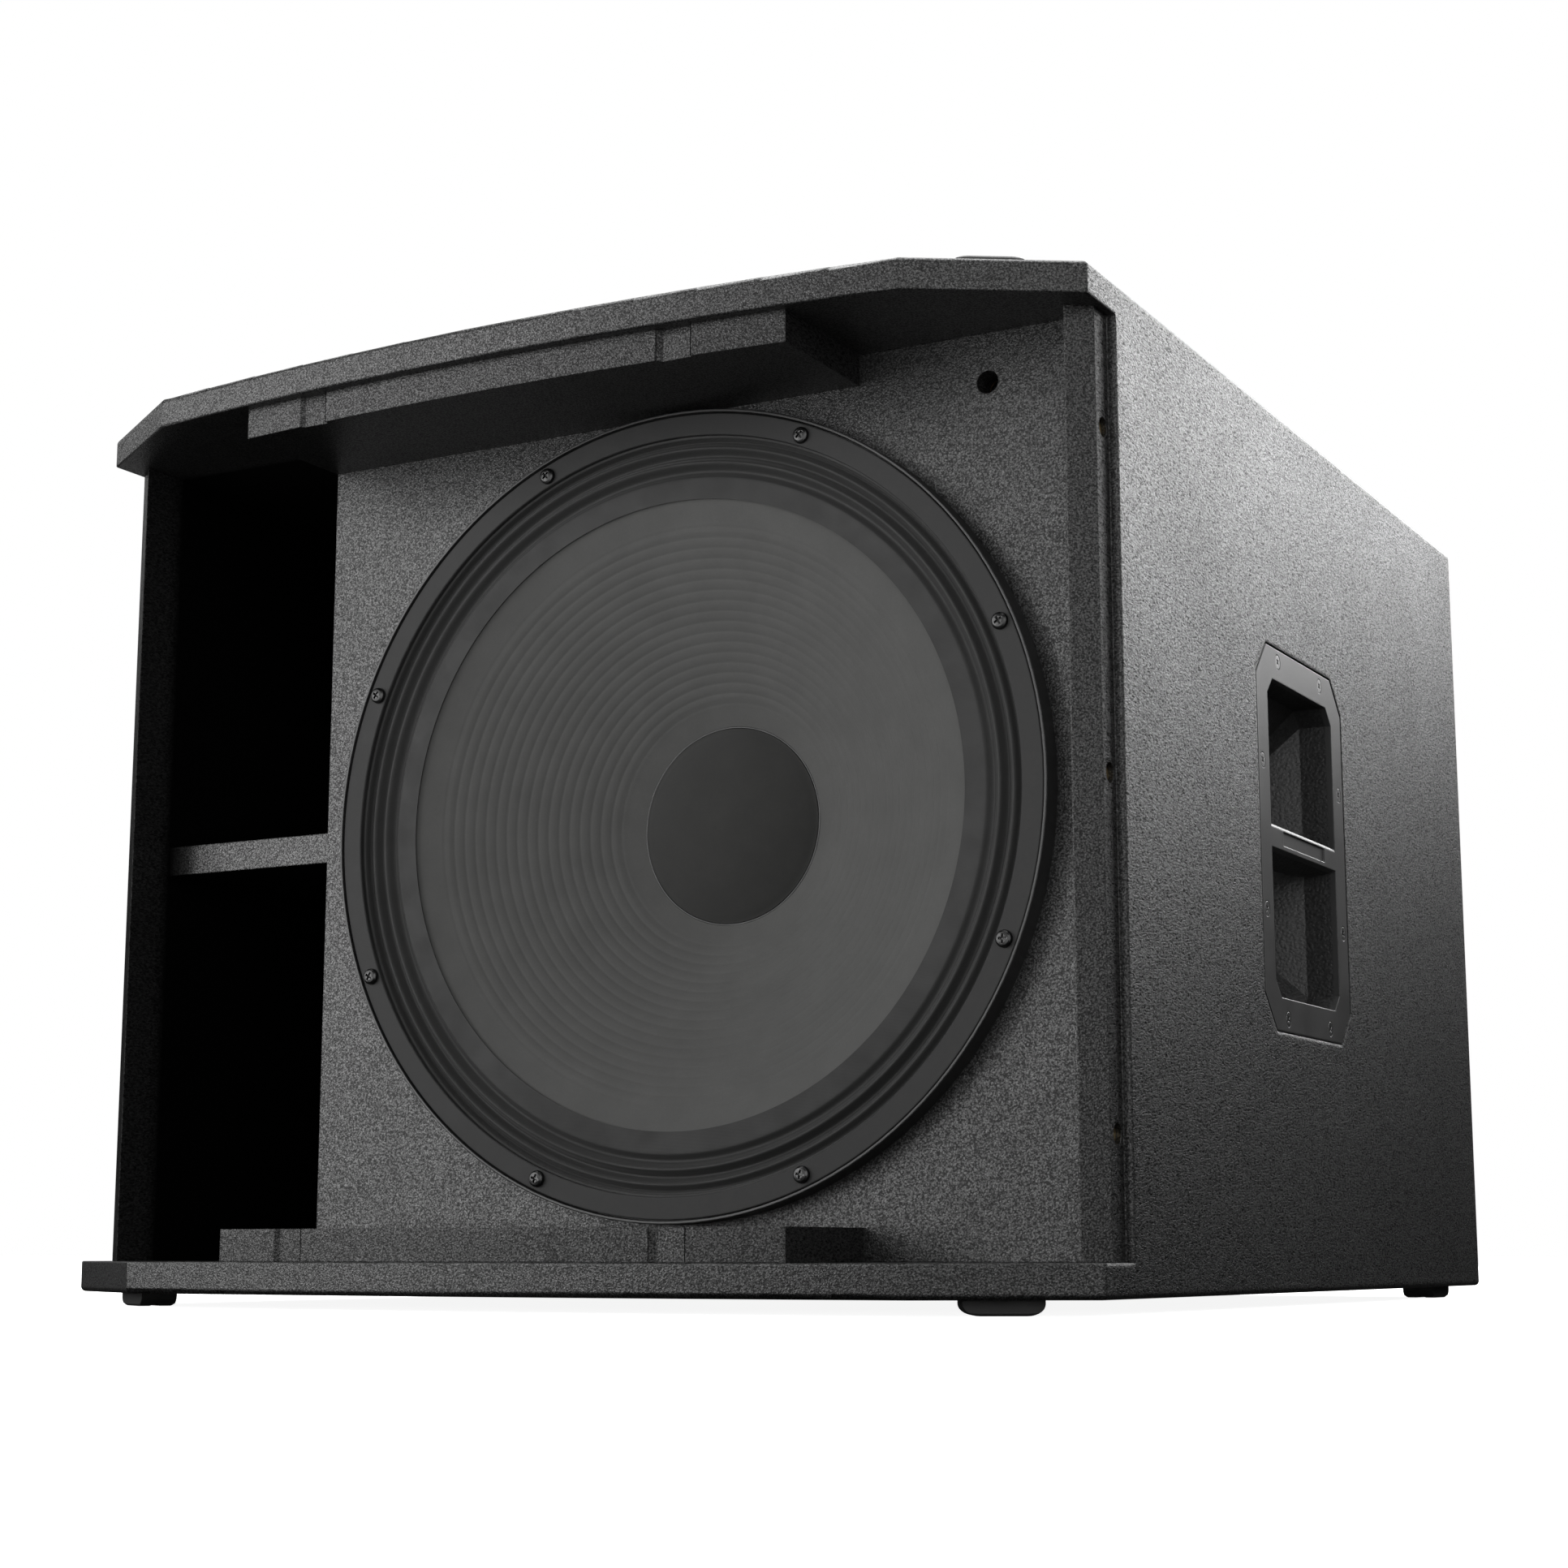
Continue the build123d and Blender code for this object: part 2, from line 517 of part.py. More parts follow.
# ---------------------------------------------------------------------------
# loudspeaker driver: these profiles are (radius, depth) in the driver frame
# ---------------------------------------------------------------------------
def basket_body():
    """The basket, still in the driver frame."""
    basket = turned([
        (211.0, 0), (DRV_R, 0), (DRV_R, -13.4), (DRV_R - 0.5, -14.0), (DRV_R - 1.6, -14.0),
        (DRV_R - 1.8, FLANGE_FRONT), (214.0, FLANGE_FRONT), (214.0, -1.5), (207.5, -1.5),
        (207.5, 22.0), (92.0, 93.5), (80.0, 93.5), (80.0, 98.0), (88.0, 98.0), (88.0, 114.0),
        (60.0, 114.0), (60.0, 122.0), (98.0, 122.0), (98.0, 112.0), (211.0, 34.0),
    ])
    window = turned([(108.0, 60.0), (196.0, 5.0), (198.0, 60.0), (108.0, 125.0)], WINDOW_ARC)
    for i in range(8):
        basket -= Rot(0, 0, LEG_PITCH * i + WINDOW_START) * window
    for hole in bolt_holes(BOLT_HOLE_R, -6, 20):
        basket -= hole
    return basket


def driver_gasket():
    gasket = turned([
        (214.2, FLANGE_FRONT - 1.0), (RIM_R, FLANGE_FRONT - 1.0), (RIM_R, GASKET_FRONT + 0.5),
        (DRV_R - 2.9, GASKET_FRONT), (214.7, GASKET_FRONT), (214.2, GASKET_FRONT + 0.5)])
    for hole in bolt_holes(BOLT_HOLE_R, -11, 10):
        gasket -= hole
    return drv(gasket)


def sheet_profile(radii, depth_at, half_t):
    """Closed outline of a thin sheet: out along its front, back along its rear."""
    return ([(r, depth_at(r) - half_t) for r in radii]
            + [(r, depth_at(r) + half_t) for r in reversed(radii)])


# centre line of the surround's waves, as (radius, depth), joined by half cosines
WAVE_KNOTS = [(190.5, -6.2), (194.6, -3.6), (199.4, -8.2), (203.4, -3.6),
              (207.6, -8.2), (211.2, -5.2), (213.2, -9.5)]


def wave_depth(r):
    if r <= WAVE_KNOTS[0][0]:
        return WAVE_KNOTS[0][1]
    for (r0, depth0), (r1, depth1) in zip(WAVE_KNOTS, WAVE_KNOTS[1:]):
        if r <= r1:
            return depth0 + (depth1 - depth0) * (1 - cos(pi * (r - r0) / (r1 - r0))) / 2
    return WAVE_KNOTS[-1][1]


def surround():
    wave_in, wave_out = WAVE_KNOTS[0][0], WAVE_KNOTS[-1][0]
    radii = [178.5] + [wave_in + (wave_out - wave_in) * i / 30 for i in range(31)] + [RIM_R]
    profile = sheet_profile(radii, wave_depth, 0.45)
    # the rear face stops short at the inner rim, clear of the cone
    profile[-1] = (180.4, profile[-1][1])
    solid = turned(profile)
    for hole in bolt_holes(BOLT_HOLE_R, -11, 10):
        solid -= hole
    return drv(solid)


def cone():
    slope = (CAP_DEPTH - CONE_DEPTH) / (CONE_R - CAP_R)
    neck_r = COIL_R + 0.75
    neck_depth = CONE_DEPTH + slope * (CONE_R - neck_r)
    return drv(turned([
        (191.0, CONE_DEPTH), (CONE_R, CONE_DEPTH), (neck_r, neck_depth), (neck_r, neck_depth + 1.9),
        (CONE_R - 0.4, CONE_DEPTH + 1.5), (191.0, CONE_DEPTH + 1.3),
    ]))


def dust_cap():
    sphere_r = (CAP_R ** 2 + CAP_RISE ** 2) / (2 * CAP_RISE)
    centre = CAP_DEPTH - CAP_RISE + sphere_r
    radii = [CAP_R * i / 12 for i in range(13)]
    front = [(r, centre - sqrt(sphere_r ** 2 - r ** 2) - 1.1) for r in radii]
    back = [(r, depth + 0.9) for r, depth in reversed(front)]
    return drv(turned(front + back))


def ring(inner_r, outer_r, front, back):
    return drv(turned([(inner_r, front), (outer_r, front), (outer_r, back), (inner_r, back)]))


SPIDER_DEPTH, SPIDER_WAVE, SPIDER_R0, SPIDER_SPAN = 92.9, 2.4, 57.0, 22.0


def spider_depth(r):
    """Six half waves, shallower at both ends, between flat rims."""
    if r < SPIDER_R0 or r > SPIDER_R0 + SPIDER_SPAN:
        return SPIDER_DEPTH
    scale = 1 if 58 < r < 78 else 0.6
    return SPIDER_DEPTH - SPIDER_WAVE * sin(pi * (r - SPIDER_R0) / SPIDER_SPAN * 6) * scale


def spider():
    radii = [51.0] + [SPIDER_R0 + SPIDER_SPAN * i / 48 for i in range(49)] + [89.0]
    return drv(turned(sheet_profile(radii, spider_depth, 0.35)))


def pole_yoke():
    pole_r = COIL_R - 1.2
    return drv(turned([(15.0, 120.0), (pole_r, 120.0), (pole_r, 156.1), (106.0, 156.1),
                       (106.0, 166.0), (104.0, 168.0), (15.0, 168.0)]))


def driver_terminals(basket):
    """Terminal strip with two tabs on the back of one basket leg."""
    leg, slant = Rot(0, 0, LEG_DEG), (0, 34.6, 0)
    strip = leg * Location((158.0, 0, 78.0), slant) * Box(34, 26, 12)
    for y in (7.5, -7.5):
        strip += leg * Location((164.0, y, 84.0), slant) * Box(10, 3.0, 16)
    strip = strip - basket
    return drv(max(strip.solids(), key=lambda s: s.volume))


def tinsel_leads():
    leads = []
    for s in (-1, 1):
        path = Spline((146.0, 3.5 * s, 56.6), (118.0, 3.5 * s, 68.0),
                      (98.0, 3.0 * s, 62.0), (87.0, 3.0 * s, 47.2))
        leads.append(Rot(0, 0, LEG_DEG) * tube(path, 1.0))
    return drv(group(leads))


def driver_screws():
    return group([
        drv(Rot(0, 0, angle) * Pos(BOLT_CIRCLE_R, 0, 0) * Pos(0, 0, GASKET_FRONT)
            * Rot(180, 0, 20 + 37 * i) * pan_screw(4.7, 3.2, 2.9, 34.0))
        for i, angle in enumerate(BOLT_ANGLES)])


def driver_tee_nuts():
    nut = [(2.98, 8.0), (3.9, 8.0), (3.9, 18.05), (8.0, 18.05), (8.0, 19.4), (2.98, 19.4)]
    return group([drv(Rot(0, 0, angle) * Pos(BOLT_CIRCLE_R, 0, 0) * turned(nut))
                  for angle in BOLT_ANGLES])


# ---------------------------------------------------------------------------
# amplifier module in the rear recess
# ---------------------------------------------------------------------------
def amp_plate():
    through = (Y_AMP - 1, Y_PLATE + 1)
    plate = block_y(0, Z_MID, AMP_HX, AMP_HZ, Y_AMP, Y_PLATE, 6.0)
    for x, z in AMP_SCREWS:
        plate -= rod_y(2.3, x, z, *through)
    for x, z in (*INPUTS.values(), *LINKS):
        plate -= rod_y(12.2, x, z, *through)
        plate -= block_y(x, z + 11.2, 4.4, 2.2, *through)
    plate -= rod_y(5.4, ENC_X, ENC_Z, *through)
    plate -= block_y(DISP_X, DISP_Z, DISP_HX, DISP_HZ, *through)
    plate -= block_y(INLET_X, INLET_Z, INLET_HX + CLEARANCE, INLET_HZ + CLEARANCE, *through)
    plate -= block_y(SWITCH_X, SWITCH_Z, SWITCH_HX + CLEARANCE, SWITCH_HZ + CLEARANCE, *through)
    return plate


def amp_heatsink():
    z_span = (Z_MID + 42, Z_MID + 182)
    sink = block(-126, 126, Y_PLATE, Y_PLATE + 4, *z_span)
    for i in range(26):
        x = -125 + 10 * i
        sink += block(x - 1.1, x + 1.1, Y_PLATE + 3.9, Y_PLATE + 23, *z_span)
    return sink


def amp_screws():
    return group([
        facing((x, Y_PLATE, z), (0, 1, 0), 11 * i) * pan_screw(3.9, 2.5, SHANK_R, 16.0)
        for i, (x, z) in enumerate(AMP_SCREWS)])


def display_window():
    fit_x, fit_z = DISP_HX - CLEARANCE, DISP_HZ - CLEARANCE
    glass = block_y(DISP_X, DISP_Z, fit_x, fit_z, Y_AMP + 0.3, Y_PLATE - 0.4)
    glass += block_y(DISP_X, DISP_Z, DISP_HX + 3, DISP_HZ + 3, Y_AMP - 1.6, Y_AMP - 0.1)
    # joins the two across the face of the plate
    glass += block_y(DISP_X, DISP_Z, fit_x, fit_z, Y_AMP - 0.6, Y_AMP + 0.6)
    return glass


def socket_shell(x, z, back, bore_r, bore_depth):
    """26 x 31 mm flange with a bored barrel; back and bore_depth run forward of Y_AMP."""
    shell = block_y(x, z, 13, 15.5, Y_PLATE, Y_PLATE + 2.0, 3.0)
    shell += rod_y(11.9, x, z, Y_PLATE + 0.5, Y_AMP - back)
    return shell - rod_y(bore_r, x, z, Y_PLATE + 3, Y_AMP - bore_depth)


def drill_flange(shell, x, z):
    for s in (-1, 1):
        shell -= rod_y(1.6, x + s * 9.5, z - s * 12.0, Y_PLATE - 1, Y_PLATE + 3)
    return shell


def input_socket(x, z):
    shell = socket_shell(x, z, 24, 9.6, 14)
    core = rod_y(8.2, x, z, Y_AMP - 15, Y_PLATE + 1.2)
    core -= rod_y(3.25, x, z, Y_AMP - 12, Y_PLATE + 3)
    for angle in CONTACT_ANGLES:
        dx, dz = on_circle(5.6, angle)
        core -= rod_y(1.5, x + dx, z + dz, Y_AMP - 12, Y_PLATE + 3)
    shell += core
    # slot for the release tab
    shell -= block_y(x, z + 11.1, 4.2, 2.1, Y_AMP - 10, Y_PLATE + 3)
    return drill_flange(shell, x, z)


def input_latch(x, z):
    tab = block_y(x, z + 11.45, 3.9, 1.45, Y_AMP - 6, Y_PLATE + 4.2)
    return fillet([e for e in tab.edges().filter_by(Axis.X) if e.center().Y > Y_PLATE + 4], 1.0)


def link_socket(x, z):
    shell = socket_shell(x, z, 20, 9.4, 13)
    for angle in CONTACT_ANGLES:
        dx, dz = on_circle(4.6, angle)
        shell += rod_y(1.2, x + dx, z + dz, Y_AMP - 14, Y_AMP + 1.0)
    return drill_flange(shell, x, z)


def mains_inlet():
    inlet = block_y(INLET_X, INLET_Z, 16, 27, Y_PLATE, Y_PLATE + 3.0, 3.0)
    inlet += block_y(INLET_X, INLET_Z, INLET_HX, INLET_HZ, Y_AMP - 30, Y_PLATE + 1)
    mouth = prism_xy([(-12.3, -8.5), (12.3, -8.5), (12.3, 3.0), (7.0, 8.5), (-7.0, 8.5),
                      (-12.3, 3.0)], 0, 24)
    inlet -= Location((INLET_X, Y_PLATE + 4, MOUTH_Z), (90, 0, 0)) * mouth
    for dx, dz in ((-7.0, -1.5), (7.0, -1.5), (0.0, 3.0)):
        inlet += block_y(INLET_X + dx, MOUTH_Z + dz, 1.0, 2.0, Y_AMP - 18, Y_PLATE - 3)
    inlet -= block_y(INLET_X, FUSE_Z, FUSE_HX + CLEARANCE, FUSE_HZ + CLEARANCE,
                     Y_AMP - 25, Y_PLATE + 4)
    return inlet


def fuse_drawer():
    drawer = block_y(INLET_X, FUSE_Z, FUSE_HX, FUSE_HZ, Y_AMP - 22, Y_PLATE + 2.6)
    drawer -= block_y(INLET_X, FUSE_Z + 1.5, 10.2, 6.5, Y_AMP - 20, Y_PLATE - 2)
    drawer += block_y(INLET_X, FUSE_Z - 1.0, 10.3, 4.0, Y_AMP - 8, Y_AMP - 6)
    drawer -= block_y(INLET_X, FUSE_Z - 6.3, 4.0, 1.7, Y_PLATE + 1.4, Y_PLATE + 4)
    return drawer


def switch_housing():
    housing = block_y(SWITCH_X, SWITCH_Z, 10.5, 15.0, Y_PLATE, Y_PLATE + 1.8, 2.0)
    housing += block_y(SWITCH_X, SWITCH_Z, SWITCH_HX, SWITCH_HZ, Y_AMP - 16, Y_PLATE + 0.5)
    housing -= block_y(SWITCH_X, SWITCH_Z, 7.4, 11.4, Y_AMP - 12.5, Y_PLATE + 3)
    for sx in (-1, 1):
        housing -= rod(1.55, (SWITCH_X + sx * 7.0, PIVOT_Y, SWITCH_Z),
                       (SWITCH_X + sx * 8.6, PIVOT_Y, SWITCH_Z))
    return housing


def power_rocker():
    """Rocker on a pin along X, made about the pin and then tilted."""
    rocker = prism_yz([
        (5.2, -10.6), (6.6, -9.8), (4.9, 0), (6.6, 9.8), (5.2, 10.6),
        (-1.5, 8.4), (-6.5, 3.0), (-6.5, -3.0), (-1.5, -8.4)], -7.1, 7.1)
    rocker += rod(1.5, (-8.4, 0, 0), (8.4, 0, 0))
    return Location((SWITCH_X, PIVOT_Y, SWITCH_Z), (ROCK_TILT, 0, 0)) * rocker


def encoder_sleeve():
    """Turning sleeve in the plate; the knob's stem slides in it."""
    sleeve = rod_y(5.34, ENC_X, ENC_Z, Y_AMP - 9, Y_PLATE + 1.6)
    sleeve += rod_y(8.0, ENC_X, ENC_Z, Y_AMP - 9, Y_AMP - 1.0)
    return sleeve - rod_y(3.05, ENC_X, ENC_Z, Y_AMP - 12, Y_PLATE + 4)


def encoder_knob():
    knob = turned([(0, 0), (9.0, 0), (10.6, 1.2), (11.4, 4.0), (11.0, 13.2), (10.2, 14.0), (0, 14.0)])
    for i in range(24):
        knob -= Rot(0, 0, 15 * i) * Pos(11.9, 0, 8.5) * Cylinder(0.9, 8.2)
    knob -= Pos(0, 7.4, 13.8) * Box(1.4, 4.6, 0.8)
    knob += Pos(0, 0, 0.5) * Cylinder(3.0, 17.5, align=(Align.CENTER, Align.CENTER, Align.MAX))
    return facing((ENC_X, Y_PLATE + 3.2, ENC_Z), (0, 1, 0)) * knob


def amp_circuit_board():
    board = block_y(0, Z_MID, 140, 170, BOARD_Y - BOARD_T, BOARD_Y)
    for sx in (-1, 1):
        for sz in (-1, 1):
            board += rod_y(3.5, sx * 128, Z_MID + sz * 158, BOARD_Y, Y_AMP)
    return board


def power_supply_parts():
    """Two blocks, four upright cans and a ring on the board's front face."""
    y = BOARD_Y - BOARD_T
    rounded = block(-30, 34, y - 46, y, Z_MID - 30, Z_MID + 30)
    parts = [block(-120, -50, y - 56, y, Z_MID - 20, Z_MID + 46),
             fillet(rounded.edges().filter_by(Axis.Z), 6.0)]
    for i in range(4):
        parts.append(rod_y(15.0, -100 + 36 * i, Z_MID + 110, y, y - 50))
    ring_z = Z_MID + 20
    parts.append(rod_y(22.0, 90, ring_z, y, y - 20) - rod_y(9.0, 90, ring_z, y + 1, y - 21))
    return group(parts)


def speaker_cable():
    """Cable from the driver's terminals to the amplifier."""
    start = drv(Rot(0, 0, LEG_DEG) * Pos(176.0, 0, 108.0)).position
    path = Spline((start.X, start.Y, start.Z), (start.X - 4, start.Y + 60, start.Z - 14),
                  (-60.0, 60.0, Z_MID + 70), (-20.0, 200.0, Z_MID + 66),
                  (10.0, Y_AMP - 50.0, Z_MID + 80.0))
    return tube(path, 3.2)


# ---------------------------------------------------------------------------
# build and export
# ---------------------------------------------------------------------------
side_panel = right_side_panel()
handle = right_handle()
basket = basket_body()
foot = rubber_pad()

parts = {
    "pole_socket": pole_socket(),
    "bottom_panel": panel(Z_UNDER, 1),
    "top_panel": top_panel(),
    "right_side_panel": side_panel,
    "left_side_panel": mirror(side_panel, Plane.YZ),
    "grille_inserts": grille_inserts(),
    "front_baffle": front_baffle(),
    "port_wall": port_wall(),
    "port_shelf": port_shelf(),
    "top_grille_cleat": grille_cleat(Z_CEIL - PLY),
    "bottom_grille_cleat": grille_cleat(Z_FLOOR),
    "window_brace": window_brace(),
    "rear_panel": rear_panel(),
    "top_damping_pad": damping_pad(-60, Z_CEIL - PAD_GAP - PAD_T),
    "bottom_damping_pad": damping_pad(95, Z_FLOOR + PAD_GAP),
    "right_handle": handle,
    "left_handle": mirror(handle, Plane.YZ),
    "countersunk_screws": countersunk_screws(),
    "pad_screws": pad_screws(),
    "driver_basket": drv(basket),
    "driver_gasket": driver_gasket(),
    "surround": surround(),
    "cone": cone(),
    "dust_cap": dust_cap(),
    "voice_coil_former": ring(COIL_R, COIL_R + 0.6, 60.0, 142.0),
    "voice_coil_winding": ring(COIL_R + 0.65, COIL_R + 2.3, 116.0, 140.0),
    "spider": spider(),
    "magnet_top_plate": ring(COIL_R + 3.3, 101.0, 122.2, 134.0),
    "ferrite_magnet": ring(62.0, 110.0, 134.1, 156.0),
    "pole_yoke": pole_yoke(),
    "driver_terminals": driver_terminals(basket),
    "tinsel_leads": tinsel_leads(),
    "driver_screws": driver_screws(),
    "driver_tee_nuts": driver_tee_nuts(),
    "amp_plate": amp_plate(),
    "amp_heatsink": amp_heatsink(),
    "amp_screws": amp_screws(),
    "display_window": display_window(),
    "link_sockets": group([link_socket(x, z) for x, z in LINKS]),
    "mains_inlet": mains_inlet(),
    "fuse_drawer": fuse_drawer(),
    "switch_housing": switch_housing(),
    "power_rocker": power_rocker(),
    "encoder_sleeve": encoder_sleeve(),
    "encoder_knob": encoder_knob(),
    "amp_circuit_board": amp_circuit_board(),
    "power_supply_parts": power_supply_parts(),
    "speaker_cable": speaker_cable(),
}
for name, (x, y, turn) in CORNERS.items():
    parts[name + "_foot"] = Location((x, y, 0), (0, 0, turn)) * foot
    parts[name + "_stacking_pad"] = (
        Location((x, y, Z_TOP + FOOT_H), (0, 0, turn)) * (Rot(180, 0, 0) * foot))
for tag, (x, z) in INPUTS.items():
    parts["input_socket_" + tag] = input_socket(x, z)
    parts["input_latch_" + tag] = input_latch(x, z)

os.makedirs("parts", exist_ok=True)
for name, shape in parts.items():
    export_step(shape, "parts/" + name + ".step")
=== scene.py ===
"""Loudspeaker cabinet on a white studio floor.

The frame is in metres with +Z up. The baffle faces -Y and the amplifier plate +Y; the port duct runs
along the left (-X) side. The driver is measured in millimetres from its own axis: radius outward and
depth backward (+Y) from the baffle face.
"""
import math
from functools import reduce
from operator import add

import bmesh
import bpy
import numpy as np
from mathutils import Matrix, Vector, noise as mnoise

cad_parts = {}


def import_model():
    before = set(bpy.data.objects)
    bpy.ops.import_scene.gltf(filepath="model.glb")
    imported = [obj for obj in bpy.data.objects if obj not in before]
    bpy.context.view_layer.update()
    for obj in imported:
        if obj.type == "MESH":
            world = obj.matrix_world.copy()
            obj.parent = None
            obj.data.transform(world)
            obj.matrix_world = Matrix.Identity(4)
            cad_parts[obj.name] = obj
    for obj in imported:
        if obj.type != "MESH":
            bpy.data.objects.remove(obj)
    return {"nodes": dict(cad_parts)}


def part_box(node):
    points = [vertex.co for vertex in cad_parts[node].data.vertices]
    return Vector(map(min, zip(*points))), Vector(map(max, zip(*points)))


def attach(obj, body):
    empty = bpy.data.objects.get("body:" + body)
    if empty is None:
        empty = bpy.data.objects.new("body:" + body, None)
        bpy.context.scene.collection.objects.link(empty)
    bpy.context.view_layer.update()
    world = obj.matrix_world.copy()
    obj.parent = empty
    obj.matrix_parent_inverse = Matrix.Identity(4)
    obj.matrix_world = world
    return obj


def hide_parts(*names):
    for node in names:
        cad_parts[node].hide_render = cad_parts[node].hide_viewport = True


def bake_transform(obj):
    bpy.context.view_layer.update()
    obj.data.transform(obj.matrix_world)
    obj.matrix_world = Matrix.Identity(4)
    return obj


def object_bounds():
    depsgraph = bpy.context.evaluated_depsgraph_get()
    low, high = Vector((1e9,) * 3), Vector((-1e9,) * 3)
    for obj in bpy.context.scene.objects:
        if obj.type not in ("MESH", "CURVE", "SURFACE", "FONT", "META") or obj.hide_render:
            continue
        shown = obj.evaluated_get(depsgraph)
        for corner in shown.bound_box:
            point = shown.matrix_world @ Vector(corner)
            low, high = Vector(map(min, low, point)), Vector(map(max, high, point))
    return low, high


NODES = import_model()["nodes"]
CAD_LO, CAD_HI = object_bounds()
scene = bpy.context.scene
MM = 0.001

# ---------------------------------------------------------------------------
# places read from the frame
# ---------------------------------------------------------------------------
basket_lo, basket_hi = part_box("driver_basket")
DRIVER_X = (basket_lo.x + basket_hi.x) / 2
DRIVER_Z = (basket_lo.z + basket_hi.z) / 2
FACE_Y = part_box("front_baffle")[0].y                  # front face of the baffle
SIDE_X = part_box("right_side_panel")[1].x              # outer face of the side panels
SIDE_THICKNESS = SIDE_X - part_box("front_baffle")[1].x
LEFT_INNER_X = -SIDE_X + SIDE_THICKNESS
SIDE_Z0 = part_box("right_side_panel")[0].z             # lower and upper ends of the side panels
SIDE_Z1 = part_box("right_side_panel")[1].z
PORT_X0, PORT_X1 = (corner.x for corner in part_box("port_wall"))
PORT_Y1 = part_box("port_wall")[1].y
REAR_PANEL_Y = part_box("rear_panel")[0].y
PLATE_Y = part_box("amp_plate")[1].y                    # outer face of the amplifier plate
BOARD_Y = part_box("amp_circuit_board")[0].y

# centres (x, z) on the amplifier plate
MID_Z = (SIDE_Z0 + SIDE_Z1) / 2
INPUTS = ((0.104, MID_Z - 0.062), (0.058, MID_Z - 0.062))
LINKS = ((0.104, MID_Z - 0.122), (0.058, MID_Z - 0.122))
INLET = (-0.098, MID_Z - 0.1395)
DIAL = (0.074, MID_Z + 0.006)


# ---------------------------------------------------------------------------
# shader graphs written as expressions
# ---------------------------------------------------------------------------
MATS = {}
# index of the first input, the second input and the output of a Mix node
MIX_SOCKETS = {"FLOAT": (2, 3, 0), "VECTOR": (4, 5, 1), "RGBA": (6, 7, 2)}
SURFACE_INPUTS = {
    "colour": "Base Color", "rough": "Roughness", "metal": "Metallic", "spec": "Specular IOR Level",
    "normal": "Normal", "coat": "Coat Weight", "coat_rough": "Coat Roughness",
    "sheen": "Sheen Weight", "sheen_rough": "Sheen Roughness", "emit": "Emission Color",
    "emit_power": "Emission Strength", "ior": "IOR",
}


def grey(value, tint):
    return tuple(value * channel for channel in tint)


class Field:
    """An output socket. Each operation on it adds one node; comparisons give masks of 0 and 1."""

    def __init__(self, mat, socket):
        self.mat = mat
        self.socket = socket

    def math(self, operation, other=None):
        return self.mat.math(operation, self, other)

    def __add__(self, other): return self.math("ADD", other)
    def __sub__(self, other): return self.math("SUBTRACT", other)
    def __rsub__(self, other): return self.mat.math("SUBTRACT", other, self)
    def __mul__(self, other): return self.math("MULTIPLY", other)
    def __gt__(self, other): return self.math("GREATER_THAN", other)
    def __lt__(self, other): return self.math("LESS_THAN", other)
    def __abs__(self): return self.math("ABSOLUTE")

    def capped(self):
        return self.math("MINIMUM", 1.0)

    def remap(self, over=(0.3, 0.7), to=(0.0, 1.0)):
        """Carry the range `over` onto the range `to`, clamped. The default suits a noise."""
        return self.mat.build("ShaderNodeMapRange", 0,
                              {0: self, 1: over[0], 2: over[1], 3: to[0], 4: to[1]}, clamp=True)

    def _mix(self, kind, where_0, where_1):
        first, second, output = MIX_SOCKETS[kind]
        return self.mat.build("ShaderNodeMix", output, {0: self, first: where_0, second: where_1},
                              data_type=kind)

    def mix(self, where_0, where_1):
        return self._mix("FLOAT", where_0, where_1)

    def mix_vector(self, where_0, where_1):
        return self._mix("VECTOR", where_0, where_1)

    def mix_colour(self, where_0, where_1):
        """A colour is a field, a triple or a single number for a grey."""
        return self._mix("RGBA", where_0, where_1)

    def tones(self, low, high):
        """Colour a noise from low to high."""
        return self.remap().mix_colour(low, high)


